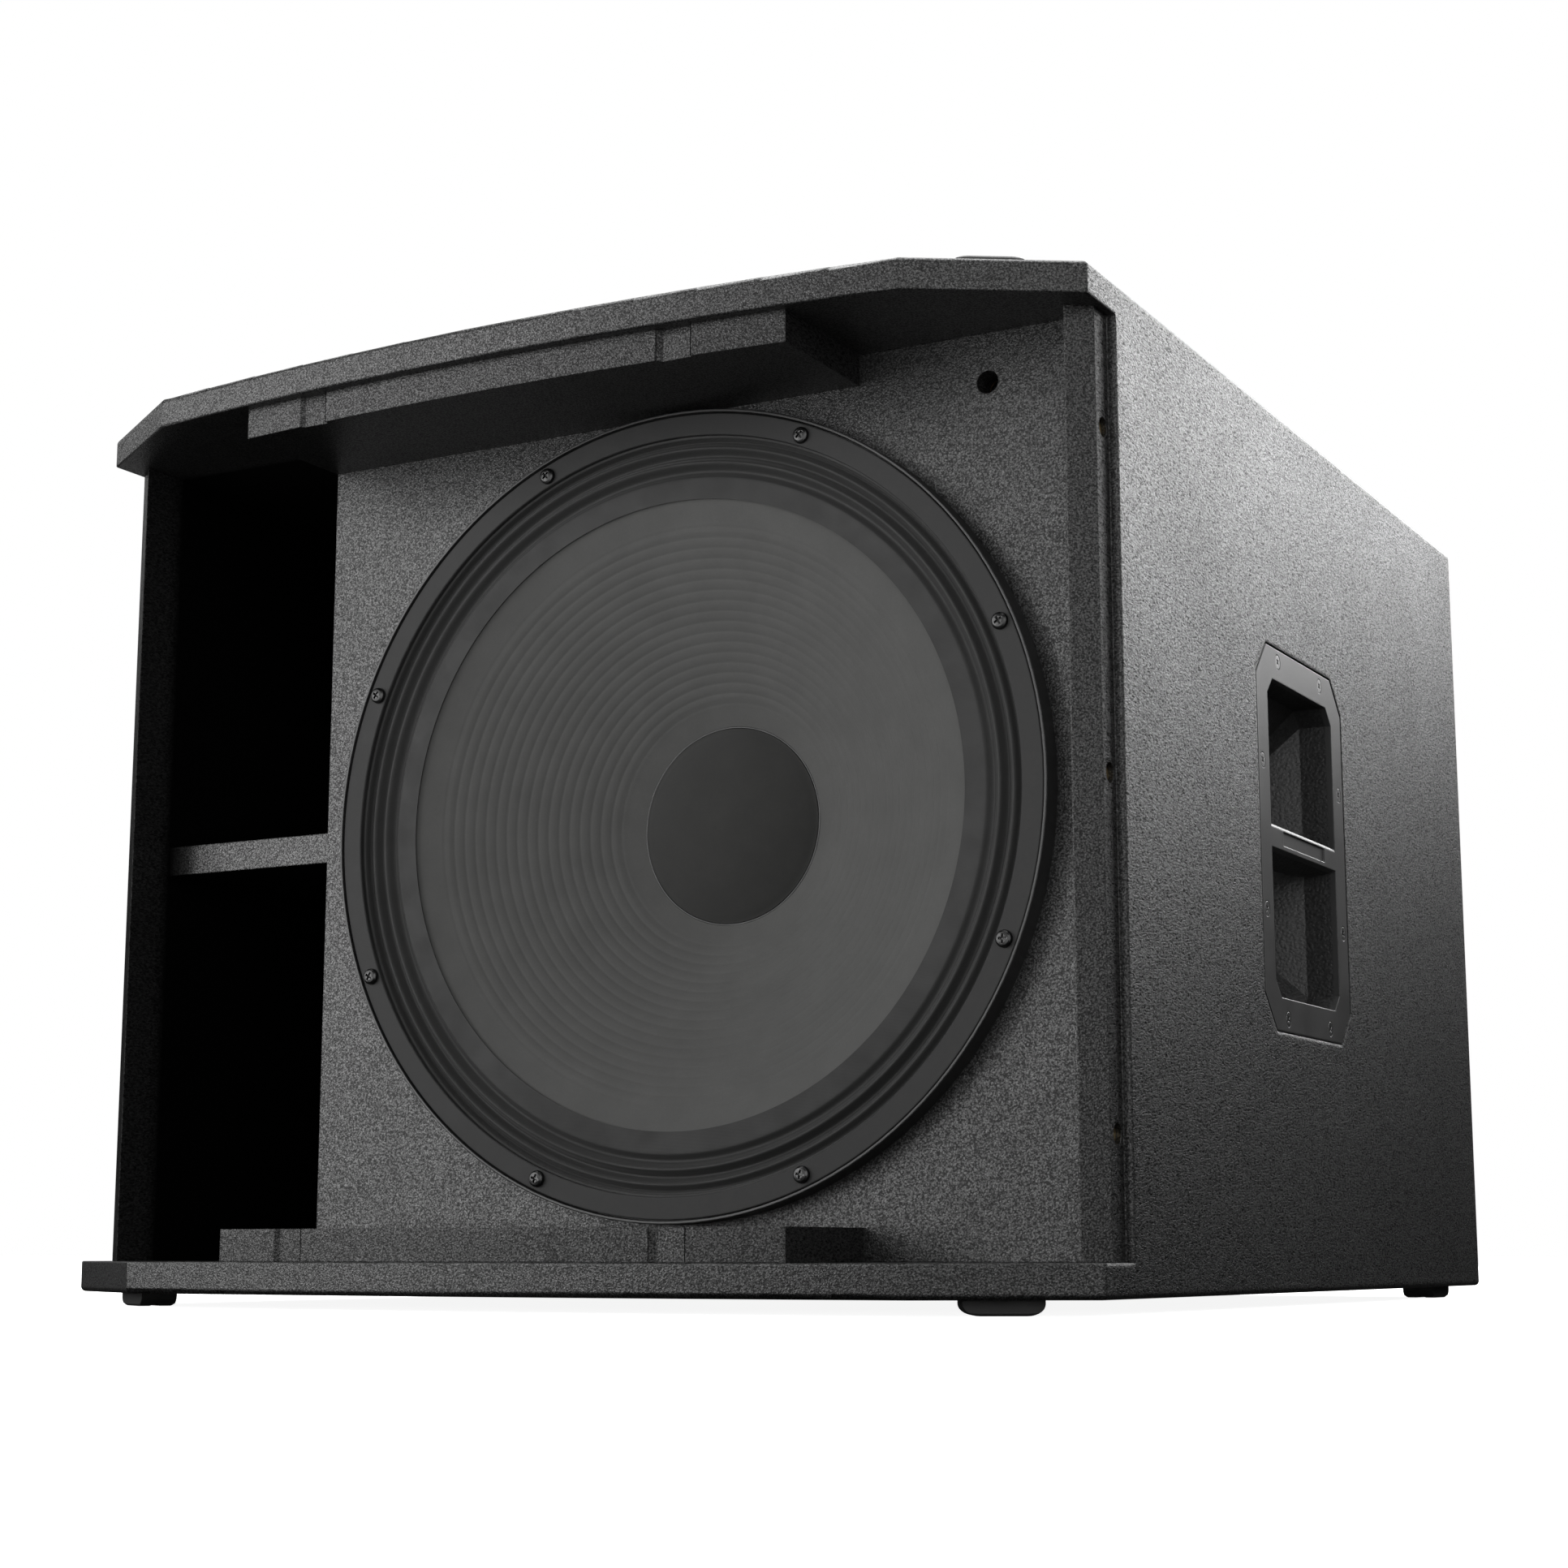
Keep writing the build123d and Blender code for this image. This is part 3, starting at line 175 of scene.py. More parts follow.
class Material:
    """A principled material mapped by object coordinates and filed in MATS."""

    def __init__(self, name):
        self.data = bpy.data.materials.new(name)
        self.data.use_nodes = True
        self.tree = self.data.node_tree
        self.tree.nodes.clear()
        output = self.tree.nodes.new("ShaderNodeOutputMaterial")
        self.shader = self.tree.nodes.new("ShaderNodeBsdfPrincipled")
        self.tree.links.new(self.shader.outputs[0], output.inputs["Surface"])
        self.coords = self.build("ShaderNodeTexCoord", "Object", {})
        MATS[name] = self.data

    def put(self, socket, value):
        if isinstance(value, Field):
            self.tree.links.new(value.socket, socket)
        elif socket.type == "RGBA":
            triple = value if isinstance(value, tuple) else (value,) * 3
            socket.default_value = (*triple, 1.0)
        else:
            socket.default_value = value

    def build(self, kind, output, inputs, **properties):
        node = self.tree.nodes.new(kind)
        for key, value in properties.items():
            setattr(node, key, value)
        for key, value in inputs.items():
            self.put(node.inputs[key], value)
        return Field(self, node.outputs[output])

    def surface(self, **values):
        for key, value in values.items():
            self.put(self.shader.inputs[SURFACE_INPUTS[key]], value)

    def math(self, operation, left, right=None):
        inputs = {0: left} if right is None else {0: left, 1: right}
        return self.build("ShaderNodeMath", 0, inputs, operation=operation)

    def position(self):
        x = self.build("ShaderNodeSeparateXYZ", "X", {0: self.coords})
        outputs = x.socket.node.outputs
        return x, Field(self, outputs["Y"]), Field(self, outputs["Z"])

    def geometry_normal(self):
        return self.build("ShaderNodeNewGeometry", "Normal", {})

    def normal(self, axis):
        return self.build("ShaderNodeSeparateXYZ", axis, {0: self.geometry_normal()})

    def mapping(self, scale=(1, 1, 1), rotation=(0, 0, 0), location=(0, 0, 0)):
        return self.build("ShaderNodeMapping", 0, {
            "Vector": self.coords, "Scale": scale, "Rotation": rotation, "Location": location})

    def noise(self, scale, detail=2.0, roughness=0.5, distortion=0.0, vector=None):
        return self.build("ShaderNodeTexNoise", 0, {
            "Vector": vector or self.coords, "Scale": scale, "Detail": detail,
            "Roughness": roughness, "Distortion": distortion})

    def voronoi(self, scale, feature="F1", vector=None, randomness=1.0, smoothness=0.5):
        inputs = {"Vector": vector or self.coords, "Scale": scale, "Randomness": randomness}
        if feature == "SMOOTH_F1":
            inputs["Smoothness"] = smoothness
        return self.build("ShaderNodeTexVoronoi", "Distance", inputs, feature=feature)

    def wave(self, scale, axis, distortion=0.0, detail=0.0, detail_scale=1.0, vector=None):
        return self.build("ShaderNodeTexWave", 1, {
            "Vector": vector or self.coords, "Scale": scale, "Distortion": distortion,
            "Detail": detail, "Detail Scale": detail_scale}, bands_direction=axis)

    def bump(self, height, distance, strength=0.5, normal=None):
        inputs = {"Height": height, "Distance": distance, "Strength": strength}
        if normal is not None:
            inputs["Normal"] = normal
        return self.build("ShaderNodeBump", 0, inputs)

    def edges(self, radius):
        """A mask of 1 on convex and concave edges and 0 on open faces, and the bevelled normal."""
        bevel = self.build("ShaderNodeBevel", 0, {"Radius": radius}, samples=4)
        facing = self.build("ShaderNodeVectorMath", "Value",
                            {0: bevel, 1: self.geometry_normal()}, operation="DOT_PRODUCT")
        return (1.0 - facing).remap(over=(0.02, 0.25)), bevel

    def wear(self, edge, scale, over, to):
        """Break an edge mask into patches."""
        return edge * self.noise(scale=scale, detail=4.0, roughness=0.7).remap(over=over, to=to)


def within(value, low, high):
    return (value > low) * (value < high)


def length(across, up):
    return (across * across + up * up).math("SQRT")


def disc(x, z, centre_x, centre_z, radius):
    return length(x - centre_x, z - centre_z) < radius


# ---------------------------------------------------------------------------
# cabinet materials
# ---------------------------------------------------------------------------
MARGIN = 0.0006             # slack round the planes that divide the zones of the plywood
LIP_X = -SIDE_X + 0.0040    # where the rounded left corner meets the flat front edge
FACING = (0.5, 0.8)         # normal component over which a face counts as facing forward


def between_panels(z):
    return within(z, SIDE_Z0 - MARGIN, SIDE_Z1 + MARGIN)


def facing_front(mat):
    return (mat.normal("Y") * -1.0).remap(over=FACING)


def coating_edges(mat, x, y, z):
    """Edge mask and normal of the coating. The long outer corners are routed round; the other edges
    are only broken. The top and bottom panels run on into the sides without a break."""
    joint_half = 0.0034
    outer = abs(x).remap(over=(SIDE_X - 0.0036, SIDE_X - 0.0030))
    edge, bevel = mat.edges(outer.mix(0.0012, 0.0032))
    joint = (abs(z - SIDE_Z0) < joint_half) + (abs(z - SIDE_Z1) < joint_half)
    joint = joint * ((abs(x) > SIDE_X - 0.0004) * (y > FACE_Y + 0.0066))
    joint = joint.capped()
    return edge * (1.0 - joint), joint.mix_vector(bevel, mat.geometry_normal())


def chamber_and_duct(mat, x, y, z):
    """Masks for the inside of the closed chamber and for the port duct behind its mouth; the duct
    mask fades in over 12 mm and carries black paint and painted shade.
    """
    cavity = (between_panels(z)
              * within(y, FACE_Y + 0.018 - MARGIN, REAR_PANEL_Y + MARGIN)
              * within(x, PORT_X1 - MARGIN, SIDE_X - SIDE_THICKNESS + MARGIN))
    duct = (between_panels(z) * (y > FACE_Y + 0.0004)
            * within(x, LEFT_INNER_X - MARGIN, PORT_X0 + MARGIN) * (y < PORT_Y1))
    nose = facing_front(mat) * x.remap(over=(LEFT_INNER_X, LEFT_INNER_X + 0.022))
    nose = nose * (y < FACE_Y + 0.03)
    return cavity, duct * y.remap(over=(FACE_Y, FACE_Y + 0.012)) * (1.0 - nose)


def coated(name, cleat=False):
    """Black textured coating on plywood: a pebbled skin about 1.2 mm across, satin on the crests,
    dull in the hollows, which are also painted darker as shade, and thin on the edges. Faces inside
    the chamber are bare birch; the port duct fades to matt black behind its mouth, partly black
    paint and partly painted shade. A cleat is duller, with two dark lines on its front."""
    mat = Material(name)
    x, y, z = mat.position()
    cells = mat.voronoi(scale=820.0, feature="SMOOTH_F1", smoothness=0.3,
                        vector=mat.mapping(scale=(1.0, 1.0, 1.12)))
    worm = mat.noise(scale=1150.0, roughness=0.55, distortion=0.7)
    fine = mat.noise(scale=2600.0, roughness=0.6)
    patch = mat.noise(scale=9.0, detail=3.0, roughness=0.6)
    broad = mat.noise(scale=230.0, detail=3.0, roughness=0.6)
    crest = cells.remap(over=(0.05, 0.75), to=(1.0, 0.0)) * 0.45 + worm.remap() * 0.55

    # on the side faces the skin is drawn out into short leathery creases
    flank = abs(mat.normal("X")).remap(over=(0.85, 0.97))
    crease = mat.noise(scale=1050.0, detail=3.0, roughness=0.62, distortion=0.7,
                       vector=mat.mapping(scale=(1.0, 0.38, 1.0))).remap(over=(0.32, 0.68))
    height = crest + fine * 0.16 + broad * 0.5
    height = flank.mix(height, crease * 0.95 + height * 0.25)
    tone = flank.mix(crest.remap(over=(0.25, 0.80)), crease.remap(over=(0.12, 0.85)))
    edge, normal = coating_edges(mat, x, y, z)

    # painted shade: the hollows of the skin are darker than the crests and reflect less
    hollow_shade_grey, crest_grey, patch_grey, worn_grey = 0.0030, 0.019, 0.013, 0.050
    skin = tone.mix_colour(hollow_shade_grey, crest_grey)
    skin = (patch.remap(over=(0.35, 0.7)) * 0.25).mix_colour(skin, patch_grey)
    worn = mat.wear(edge, scale=90.0, over=(0.46, 0.66), to=(0.0, 0.55))
    skin = worn.mix_colour(skin, worn_grey)
    rough = crest.remap(over=(0.2, 0.9), to=(1.0, 0.0)) * 0.12 + patch.remap(to=(0.27, 0.32))
    spec = tone.mix(flank.mix(0.22, 0.08), 1.0)
    if cleat:
        left_line_x, right_line_x, line_half = -0.119, 0.127, 0.0006
        spec = spec * 0.70
        line = (abs(x - left_line_x) < line_half) + (abs(x - right_line_x) < line_half)
        line = line.capped() * (mat.normal("Y") < -0.3)
        skin = line.mix_colour(skin, 0.0008)
        spec = line.mix(spec, 0.02)
    ior = (flank * (1.0 - tone)).mix(1.50, 1.24)

    # the flat front edge of the left panel is painted near black and dull as shade; its rounded
    # corner is dulled
    lip_shade = (x < LEFT_INNER_X + MARGIN) * (x > LIP_X) * facing_front(mat) * between_panels(z)
    skin = lip_shade.mix_colour(skin, 0.0015)
    spec = lip_shade.mix(spec, 0.12)
    brow = (x < LIP_X) * facing_front(mat) * between_panels(z)
    spec = brow.mix(spec, spec * 0.35)

    # on the facets that look forward and left, above the sides, the hollows are fully dull
    slanted = (0.45, 0.6)
    facet = ((mat.normal("X") * -1.0).remap(over=slanted)
             * (mat.normal("Y") * -1.0).remap(over=slanted))
    facet = facet * (z > SIDE_Z1 - MARGIN)
    rough = (facet * (1.0 - tone)).mix(rough, 0.95)

    cavity, duct = chamber_and_duct(mat, x, y, z)
    wood = mat.noise(scale=140.0, detail=4.0, roughness=0.6, distortion=0.6,
                     vector=mat.mapping(scale=(1.0, 0.06, 1.0)))
    birch = wood.tones((0.42, 0.27, 0.14), (0.62, 0.45, 0.27))
    # the port duct is near black: partly black paint, partly painted shade deepening behind the
    # mouth
    colour = duct.mix_colour(cavity.mix_colour(skin, birch), 0.0010)
    rough = duct.mix(cavity.mix(rough, wood.remap(to=(0.55, 0.72))), 0.8)
    spec = duct.mix(cavity.mix(spec, 0.4), 0.04)

    # the relief fades on the bare wood
    relief_strength = 0.85
    relief = mat.bump(height, distance=0.00019, strength=relief_strength, normal=normal)
    mat.put(relief.socket.node.inputs["Strength"], cavity.mix(1.0, 0.12) * relief_strength)
    mat.surface(colour=colour, rough=rough, spec=spec, ior=ior, normal=relief)


def bare_plywood():
    """Birch plywood: long veneer figure on the faces, ply stripes on the cut edges."""
    mat = Material("bare_plywood")
    ply_pitch = 0.0028
    face = abs(mat.normal("Y")).remap(over=(0.6, 0.9))
    wood = mat.noise(scale=150.0, detail=5.0, roughness=0.62, distortion=0.8,
                     vector=mat.mapping(scale=(0.05, 1.0, 1.0)))
    rings = mat.wave(scale=14.0, axis="Z", distortion=9.0, detail=3.0, detail_scale=0.6,
                     vector=mat.mapping(scale=(0.18, 1.0, 1.0)))
    veneer = wood.remap(over=(0.3, 0.72)).mix_colour((0.40, 0.255, 0.13), (0.63, 0.46, 0.28))
    veneer = (rings * 0.18).mix_colour(veneer, (0.34, 0.20, 0.09))
    plies = mat.wave(scale=1.0 / ply_pitch, axis="Y", distortion=0.3, detail=1.0)
    cut = plies.remap(over=(0.35, 0.65)).mix_colour((0.25, 0.14, 0.06), (0.58, 0.42, 0.25))
    mat.surface(colour=face.mix_colour(cut, veneer), rough=wood.remap(to=(0.5, 0.7)), spec=0.3,
                normal=mat.bump(wood, distance=0.00015))


def handle_plastic():
    """Satin moulded flange and grip; the pocket behind has a leather moulding grain."""
    mat = Material("handle_plastic")
    x = abs(mat.position()[0])
    pocket = x.remap(over=(SIDE_X - 0.0046, SIDE_X - 0.0034), to=(1.0, 0.0))
    leather = mat.voronoi(scale=430.0, feature="SMOOTH_F1", smoothness=0.3,
                          vector=mat.mapping(scale=(1, 1, 1.25)))
    worm = mat.noise(scale=520.0, distortion=1.2)
    fine = mat.noise(scale=3200.0, roughness=0.6)
    cloud = mat.noise(scale=28.0, detail=3.0, roughness=0.6)
    edge, bevel = mat.edges(radius=0.0009)
    scuff = mat.wear(edge, scale=160.0, over=(0.45, 0.65), to=(0.1, 0.8))
    colour = pocket.mix_colour(cloud.tones(0.034, 0.042), worm.tones(0.010, 0.028))
    colour = scuff.mix_colour(colour, 0.060)
    grain = leather.remap(over=(0.0, 0.7), to=(1.0, 0.0)) * 0.5 + worm * 0.6
    satin_normal = mat.bump(fine, distance=0.00006, strength=0.35, normal=bevel)
    grain_normal = mat.bump(grain, distance=0.0006, strength=0.7, normal=bevel)
    mat.surface(colour=colour, spec=0.55,
                rough=pocket.mix(cloud.remap(to=(0.34, 0.40)), worm.remap(to=(0.42, 0.55))),
                normal=pocket.mix_vector(satin_normal, grain_normal))


# ---------------------------------------------------------------------------
# general materials
# ---------------------------------------------------------------------------
def rubber(name, base, rough, depth, scale, spec):
    """Dull rubber, dusty in patches and paler on its edges."""
    mat = Material(name)
    fine = mat.noise(scale=scale, detail=3.0, roughness=0.6)
    cloud = mat.noise(scale=60.0, detail=4.0, roughness=0.65)
    edge, bevel = mat.edges(radius=0.0008)
    dust = cloud.remap(over=(0.5, 0.72)) * 0.35
    colour = cloud.tones(base * 0.85, base * 1.15)
    colour = dust.mix_colour(colour, grey(base * 1.6, tint=(1.0, 0.98, 0.95)))
    colour = (edge * 0.35).mix_colour(colour, base * 2.0)
    mat.surface(colour=colour, spec=spec,
                rough=cloud.remap(to=(rough - 0.05, rough + 0.06)) + fine * 0.08,
                normal=mat.bump(fine, distance=depth, normal=bevel))


def metal(name, base, rough, metallic, scratch, cast, wear, worn, tint):
    """Metal with directional rub marks, a fine surface and edges polished by handling."""
    mat = Material(name)
    rubs = [mat.noise(scale=scale, detail=3.0, roughness=0.6,
                      vector=mat.mapping(scale=stretch, rotation=turn))
            for scale, stretch, turn in ((700.0, (1.0, 1.0, 0.08), (0.3, 0.7, 0.2)),
                                         (900.0, (0.08, 1.0, 1.0), (0.2, 0.1, 0.8)))]
    cloud = mat.noise(scale=120.0, detail=4.0, roughness=0.65)
    grainy = mat.noise(scale=1900.0, roughness=0.6)
    edge, bevel = mat.edges(radius=0.0005)
    marks = (rubs[0] + rubs[1]) * 0.5
    colour = cloud.tones(grey(base * 0.82, tint), grey(base * 1.12, tint))
    colour = (edge * wear).mix_colour(colour, grey(worn, tint))
    roughness = marks.remap(over=(0.35, 0.65), to=(rough - 0.07, rough + 0.09)) + cloud * 0.05
    mat.surface(colour=colour, metal=metallic, rough=roughness, spec=0.5,
                normal=mat.bump(marks * scratch + grainy * cast, distance=0.00006, normal=bevel))


def moulded(name, dark, light, worn, rough, depth, scale, spec=0.5, coat=0.0, contacts=None):
    """Moulded plastic with a spark-eroded surface, faint flow clouds and rubbed edges. contacts
    gives a mask of metal parts within it."""
    mat = Material(name)
    eroded = mat.noise(scale=scale, roughness=0.6)
    cloud = mat.noise(scale=75.0, detail=3.0, roughness=0.6)
    edge, bevel = mat.edges(radius=0.0005)
    colour = (edge * 0.30).mix_colour(cloud.tones(dark, light), worn)
    if contacts:
        metal_mask = contacts(mat)
        colour = metal_mask.mix_colour(colour, (0.70, 0.66, 0.56))
        mat.surface(metal=metal_mask)
    mat.surface(colour=colour, rough=cloud.remap(to=rough) + eroded * 0.06, spec=spec, coat=coat,
                normal=mat.bump(eroded, distance=depth, normal=bevel))


def plastic(name, base, rough, depth, scale, tint=(1, 1, 1), spec=0.5, coat=0.0):
    moulded(name, dark=grey(base * 0.85, tint), light=grey(base * 1.15, tint),
            worn=grey(base * 2.4 + 0.01, tint), rough=(rough - 0.05, rough + 0.05),
            depth=depth, scale=scale, spec=spec, coat=coat)


def powder(name, dark, light, chipped, rough, scale, depth, ink=None):
    """Baked powder coat with orange peel and chipped edges. ink gives a mask of pale print."""
    mat = Material(name)
    peel = mat.voronoi(scale=scale, feature="SMOOTH_F1")
    fine = mat.noise(scale=scale * 1.6, roughness=0.6)
    cloud = mat.noise(scale=30.0, detail=3.0, roughness=0.6)
    edge, bevel = mat.edges(radius=0.0007)
    chip = mat.wear(edge, scale=220.0, over=(0.5, 0.62), to=(0.0, 0.7))
    colour = chip.mix_colour(cloud.tones(dark, light), chipped)
    if ink:
        colour = ink(mat).mix_colour(colour, 0.42)
    mat.surface(colour=colour, rough=cloud.remap(to=rough) + fine * 0.1, spec=0.5,
                normal=mat.bump(peel + fine * 0.4, distance=depth, strength=0.6, normal=bevel))


def paper(name, base, depth, rough, tint, spec):
    """Pressed pulp: short tangled fibres over a cloudy felt, with a slight sheen."""
    mat = Material(name)
    fibres = mat.noise(scale=900.0, detail=3.0, roughness=0.65, distortion=1.2)
    fine = mat.noise(scale=2600.0, roughness=0.6, distortion=0.6)
    cloud = mat.noise(scale=45.0, detail=5.0, roughness=0.65)
    hairs = mat.noise(scale=1500.0, detail=1.0, distortion=3.0).remap(over=(0.60, 0.72))
    colour = cloud.remap(over=(0.32, 0.68)).mix_colour(grey(base * 0.93, tint),
                                                       grey(base * 1.07, tint))
    colour = (fibres.remap(over=(0.35, 0.65)) * 0.25).mix_colour(colour, grey(base * 0.82, tint))
    colour = (hairs * 0.30).mix_colour(colour, grey(base * 1.45, tint))
    mat.surface(colour=colour, rough=fibres.remap(to=(rough - 0.06, rough + 0.06)) + 0.0,
                spec=spec, sheen=0.10, sheen_rough=0.5,
                normal=mat.bump(fibres + fine * 0.5, distance=depth))


def cloth(name, base, pitch, rough, tint, depth):
    """Plain-weave cloth, threads over and under, unevenly filled with resin or dope."""
    mat = Material(name)
    warp, weft = (mat.wave(scale=0.5 / pitch, axis=axis, distortion=0.4, detail=1.0,
                           detail_scale=2.0) for axis in ("X", "Z"))
    over = (warp * weft.remap(to=(0.4, 1.0))).math("MAXIMUM", weft * warp.remap(to=(1.0, 0.4)))
    cloud = mat.noise(scale=40.0, detail=4.0, roughness=0.65)
    fine = mat.noise(scale=2200.0, roughness=0.6)
    dark = grey(base * 0.80, tint)
    # painted shade: the weave is darker where threads pass under and between them, lighter where
    # they lie over
    colour = over.remap(over=(0.1, 0.9)).mix_colour(dark, grey(base * 1.12, tint))
    colour = (cloud.remap(over=(0.35, 0.7)) * 0.25).mix_colour(colour, dark)
    mat.surface(colour=colour, rough=cloud.remap(to=(rough - 0.08, rough + 0.08)), spec=0.3,
                sheen=0.1, sheen_rough=0.4,
                normal=mat.bump(over + fine * 0.3, distance=depth, strength=0.4))


def wadding():
    """White polyester fleece: tangled crimped fibres, with the hollows painted grey as shade."""
    mat = Material("wadding")
    fibres = mat.noise(scale=600.0, detail=5.0, roughness=0.7, distortion=2.0)
    tufts = mat.noise(scale=120.0, detail=4.0, roughness=0.7, distortion=1.0)
    # painted shade: where the fibres sink the fleece is grey, where they rise it is white
    colour = fibres.remap(over=(0.35, 0.65)).mix_colour((0.50, 0.50, 0.49), (0.86, 0.86, 0.85))
    colour = (tufts.remap(over=(0.4, 0.7)) * 0.2).mix_colour(colour, (0.62, 0.62, 0.60))
    mat.surface(colour=colour, rough=fibres.remap(to=(0.85, 1.0)), spec=0.1, sheen=0.5,
                sheen_rough=0.6,
                normal=mat.bump(fibres + tufts * 0.8, distance=0.0012, strength=0.8))


def coil_copper():
    """Enamelled wire laid turn by turn along the driver axis."""
    mat = Material("coil_copper")
    base, tint, pitch = 0.60, (1.0, 0.46, 0.22), 0.00035
    turns = mat.wave(scale=1.0 / pitch / 2.0, axis="Y", distortion=0.05)
    cloud = mat.noise(scale=90.0, detail=3.0, roughness=0.6)
    # painted shade: the wire is darker in the grooves between turns
    colour = turns.remap(over=(0.0, 1.0)).mix_colour(grey(base * 0.45, tint), grey(base, tint))
    mat.surface(colour=colour, metal=0.85, rough=cloud.remap(to=(0.24, 0.38)),
                normal=mat.bump(turns, distance=0.0001, strength=0.7))


def ferrite():
    """Charcoal ground ferrite, with grinding marks and small chips."""
    mat = Material("ferrite")
    pits = mat.voronoi(scale=800.0)
    cloud = mat.noise(scale=70.0, detail=4.0, roughness=0.65)
    marks = mat.noise(scale=500.0, detail=3.0, roughness=0.6,
                      vector=mat.mapping(scale=(1.0, 1.0, 0.1)))
    # painted shade: the chipped pits are darker than the ground face
    chip_shade = pits.remap(over=(0.05, 0.16), to=(0.6, 0.0))
    mat.surface(colour=chip_shade.mix_colour(cloud.tones(0.035, 0.06), 0.015),
                rough=marks.remap(to=(0.42, 0.62)), spec=0.5,
                normal=mat.bump(pits + marks, distance=0.0001))


# ---------------------------------------------------------------------------
# amplifier materials
# ---------------------------------------------------------------------------
def circuit_board():
    """Green solder mask with copper tracks under it and tinned pads."""
    mat = Material("board")
    flat = (1.0, 0.01, 1.0)
    lanes = mat.voronoi(scale=90.0, feature="DISTANCE_TO_EDGE", randomness=0.8,
                        vector=mat.mapping(scale=flat))
    tracks = lanes.remap(over=(0.03, 0.05), to=(1.0, 0.0))
    pads = mat.voronoi(scale=170.0, randomness=0.35, vector=mat.mapping(scale=flat))
    pads = pads.remap(over=(0.16, 0.2), to=(1.0, 0.0))
    cloud = mat.noise(scale=40.0, detail=3.0, roughness=0.6)
    colour = tracks.mix_colour((0.006, 0.055, 0.022), (0.014, 0.11, 0.045))
    colour = pads.mix_colour(colour, (0.62, 0.60, 0.56))
    mat.surface(colour=colour, metal=pads * 0.9, rough=pads * -0.1 + cloud.remap(to=(0.32, 0.42)),
                spec=0.5, normal=mat.bump(tracks + pads, distance=0.00005, strength=0.6))


def display_window():
    """Smoked acrylic over a dark dot-matrix panel."""
    mat = Material("window_plastic")
    flat = mat.mapping(scale=(1.0, 0.001, 1.0))
    columns, rows = (mat.wave(scale=1400.0, axis=axis, vector=flat).remap(over=(0.1, 0.3))
                     for axis in ("X", "Z"))
    smear = mat.noise(scale=60.0, detail=4.0, roughness=0.7)
    mat.surface(colour=(columns * rows).mix_colour((0.004, 0.005, 0.006), (0.010, 0.014, 0.018)),
                rough=smear.remap(over=(0.35, 0.7), to=(0.05, 0.16)), spec=0.6,
                coat=0.6, coat_rough=0.05,
                normal=mat.bump(smear, distance=0.00002, strength=0.2))


def contact_ring(x, z, centres, ring_radius, radius):
    """Three round contacts about each centre, one of them at the top."""
    masks = []
    for centre_x, centre_z in centres:
        for angle in map(math.radians, (90, 210, 330)):
            masks.append(disc(x, z, centre_x + ring_radius * math.cos(angle),
                              centre_z + ring_radius * math.sin(angle), radius))
    return masks


def socket_contacts(mat):
    """Metal pins of the link sockets and the inlet, and the contact holes of the inputs."""
    x, y, z = mat.position()
    blade_half_x, blade_half_z = 0.00106, 0.00206
    pins = contact_ring(x, z, LINKS, ring_radius=0.0046, radius=0.00135)
    for blade_x, blade_z in ((-0.007, -0.0015), (0.007, -0.0015), (0.0, 0.003)):
        pins.append((abs(x - (INLET[0] + blade_x)) < blade_half_x)
                    * (abs(z - (INLET[1] + blade_z)) < blade_half_z))
    pins = reduce(add, pins) * ((y < PLATE_Y - 0.0015) * (y > PLATE_Y - 0.0175))
    holes = reduce(add, contact_ring(x, z, INPUTS, ring_radius=0.0056, radius=0.00156))
    return (pins + holes * (y < PLATE_Y - 0.0030)).capped()


def outline(x, z, centre_x, centre_z, half_x, half_z):
    """A thin line round a rounded rectangle."""
    corner, half_line = 0.003, 0.00032
    past_x = abs(x - centre_x) - (half_x - corner)
    past_z = abs(z - centre_z) - (half_z - corner)
    outside = length(past_x.math("MAXIMUM", 0.0), past_z.math("MAXIMUM", 0.0))
    distance = outside + past_x.math("MAXIMUM", past_z).math("MINIMUM", 0.0)
    return abs(distance - corner) < half_line


# centre x, centre z, half width, half height
PRINTED_OUTLINES = (
    (0.081, MID_Z - 0.062, 0.041, 0.0185),
    (0.081, MID_Z - 0.122, 0.041, 0.0185),
    (-0.098, MID_Z - 0.103, 0.023, 0.060),
    (-0.018, MID_Z + 0.006, 0.0475, 0.0175),
)


def dial_ticks(x, z):
    """Twelve radial ticks round the dial, left out at the bottom."""
    pitch, half_tick = 2 * math.pi / 12.0, 0.00034
    inner, outer, gap_below = 0.0158, 0.0188, -0.0125
    across, up = x - DIAL[0], z - DIAL[1]
    radius = length(across, up)
    turn = (across.math("ARCTAN2", up) * (1.0 / pitch) + 0.5).math("FRACT")
    tick = ((abs(turn - 0.5) * (radius * pitch)) < half_tick) * within(radius, inner, outer)
    return tick * (1.0 - (up < gap_below) * 1.0)


def panel_ink(mat):
    """Print on the rear face of the amplifier plate, thin in places."""
    x, _, z = mat.position()
    ink = reduce(add, [outline(x, z, *box) for box in PRINTED_OUTLINES])
    ink = (ink + dial_ticks(x, z)).capped()
    ink = ink * mat.normal("Y").remap(over=(0.8, 0.95))
    thin = mat.noise(scale=900.0, detail=3.0, roughness=0.7)
    return ink * thin.remap(over=(0.22, 0.42), to=(0.45, 1.0))


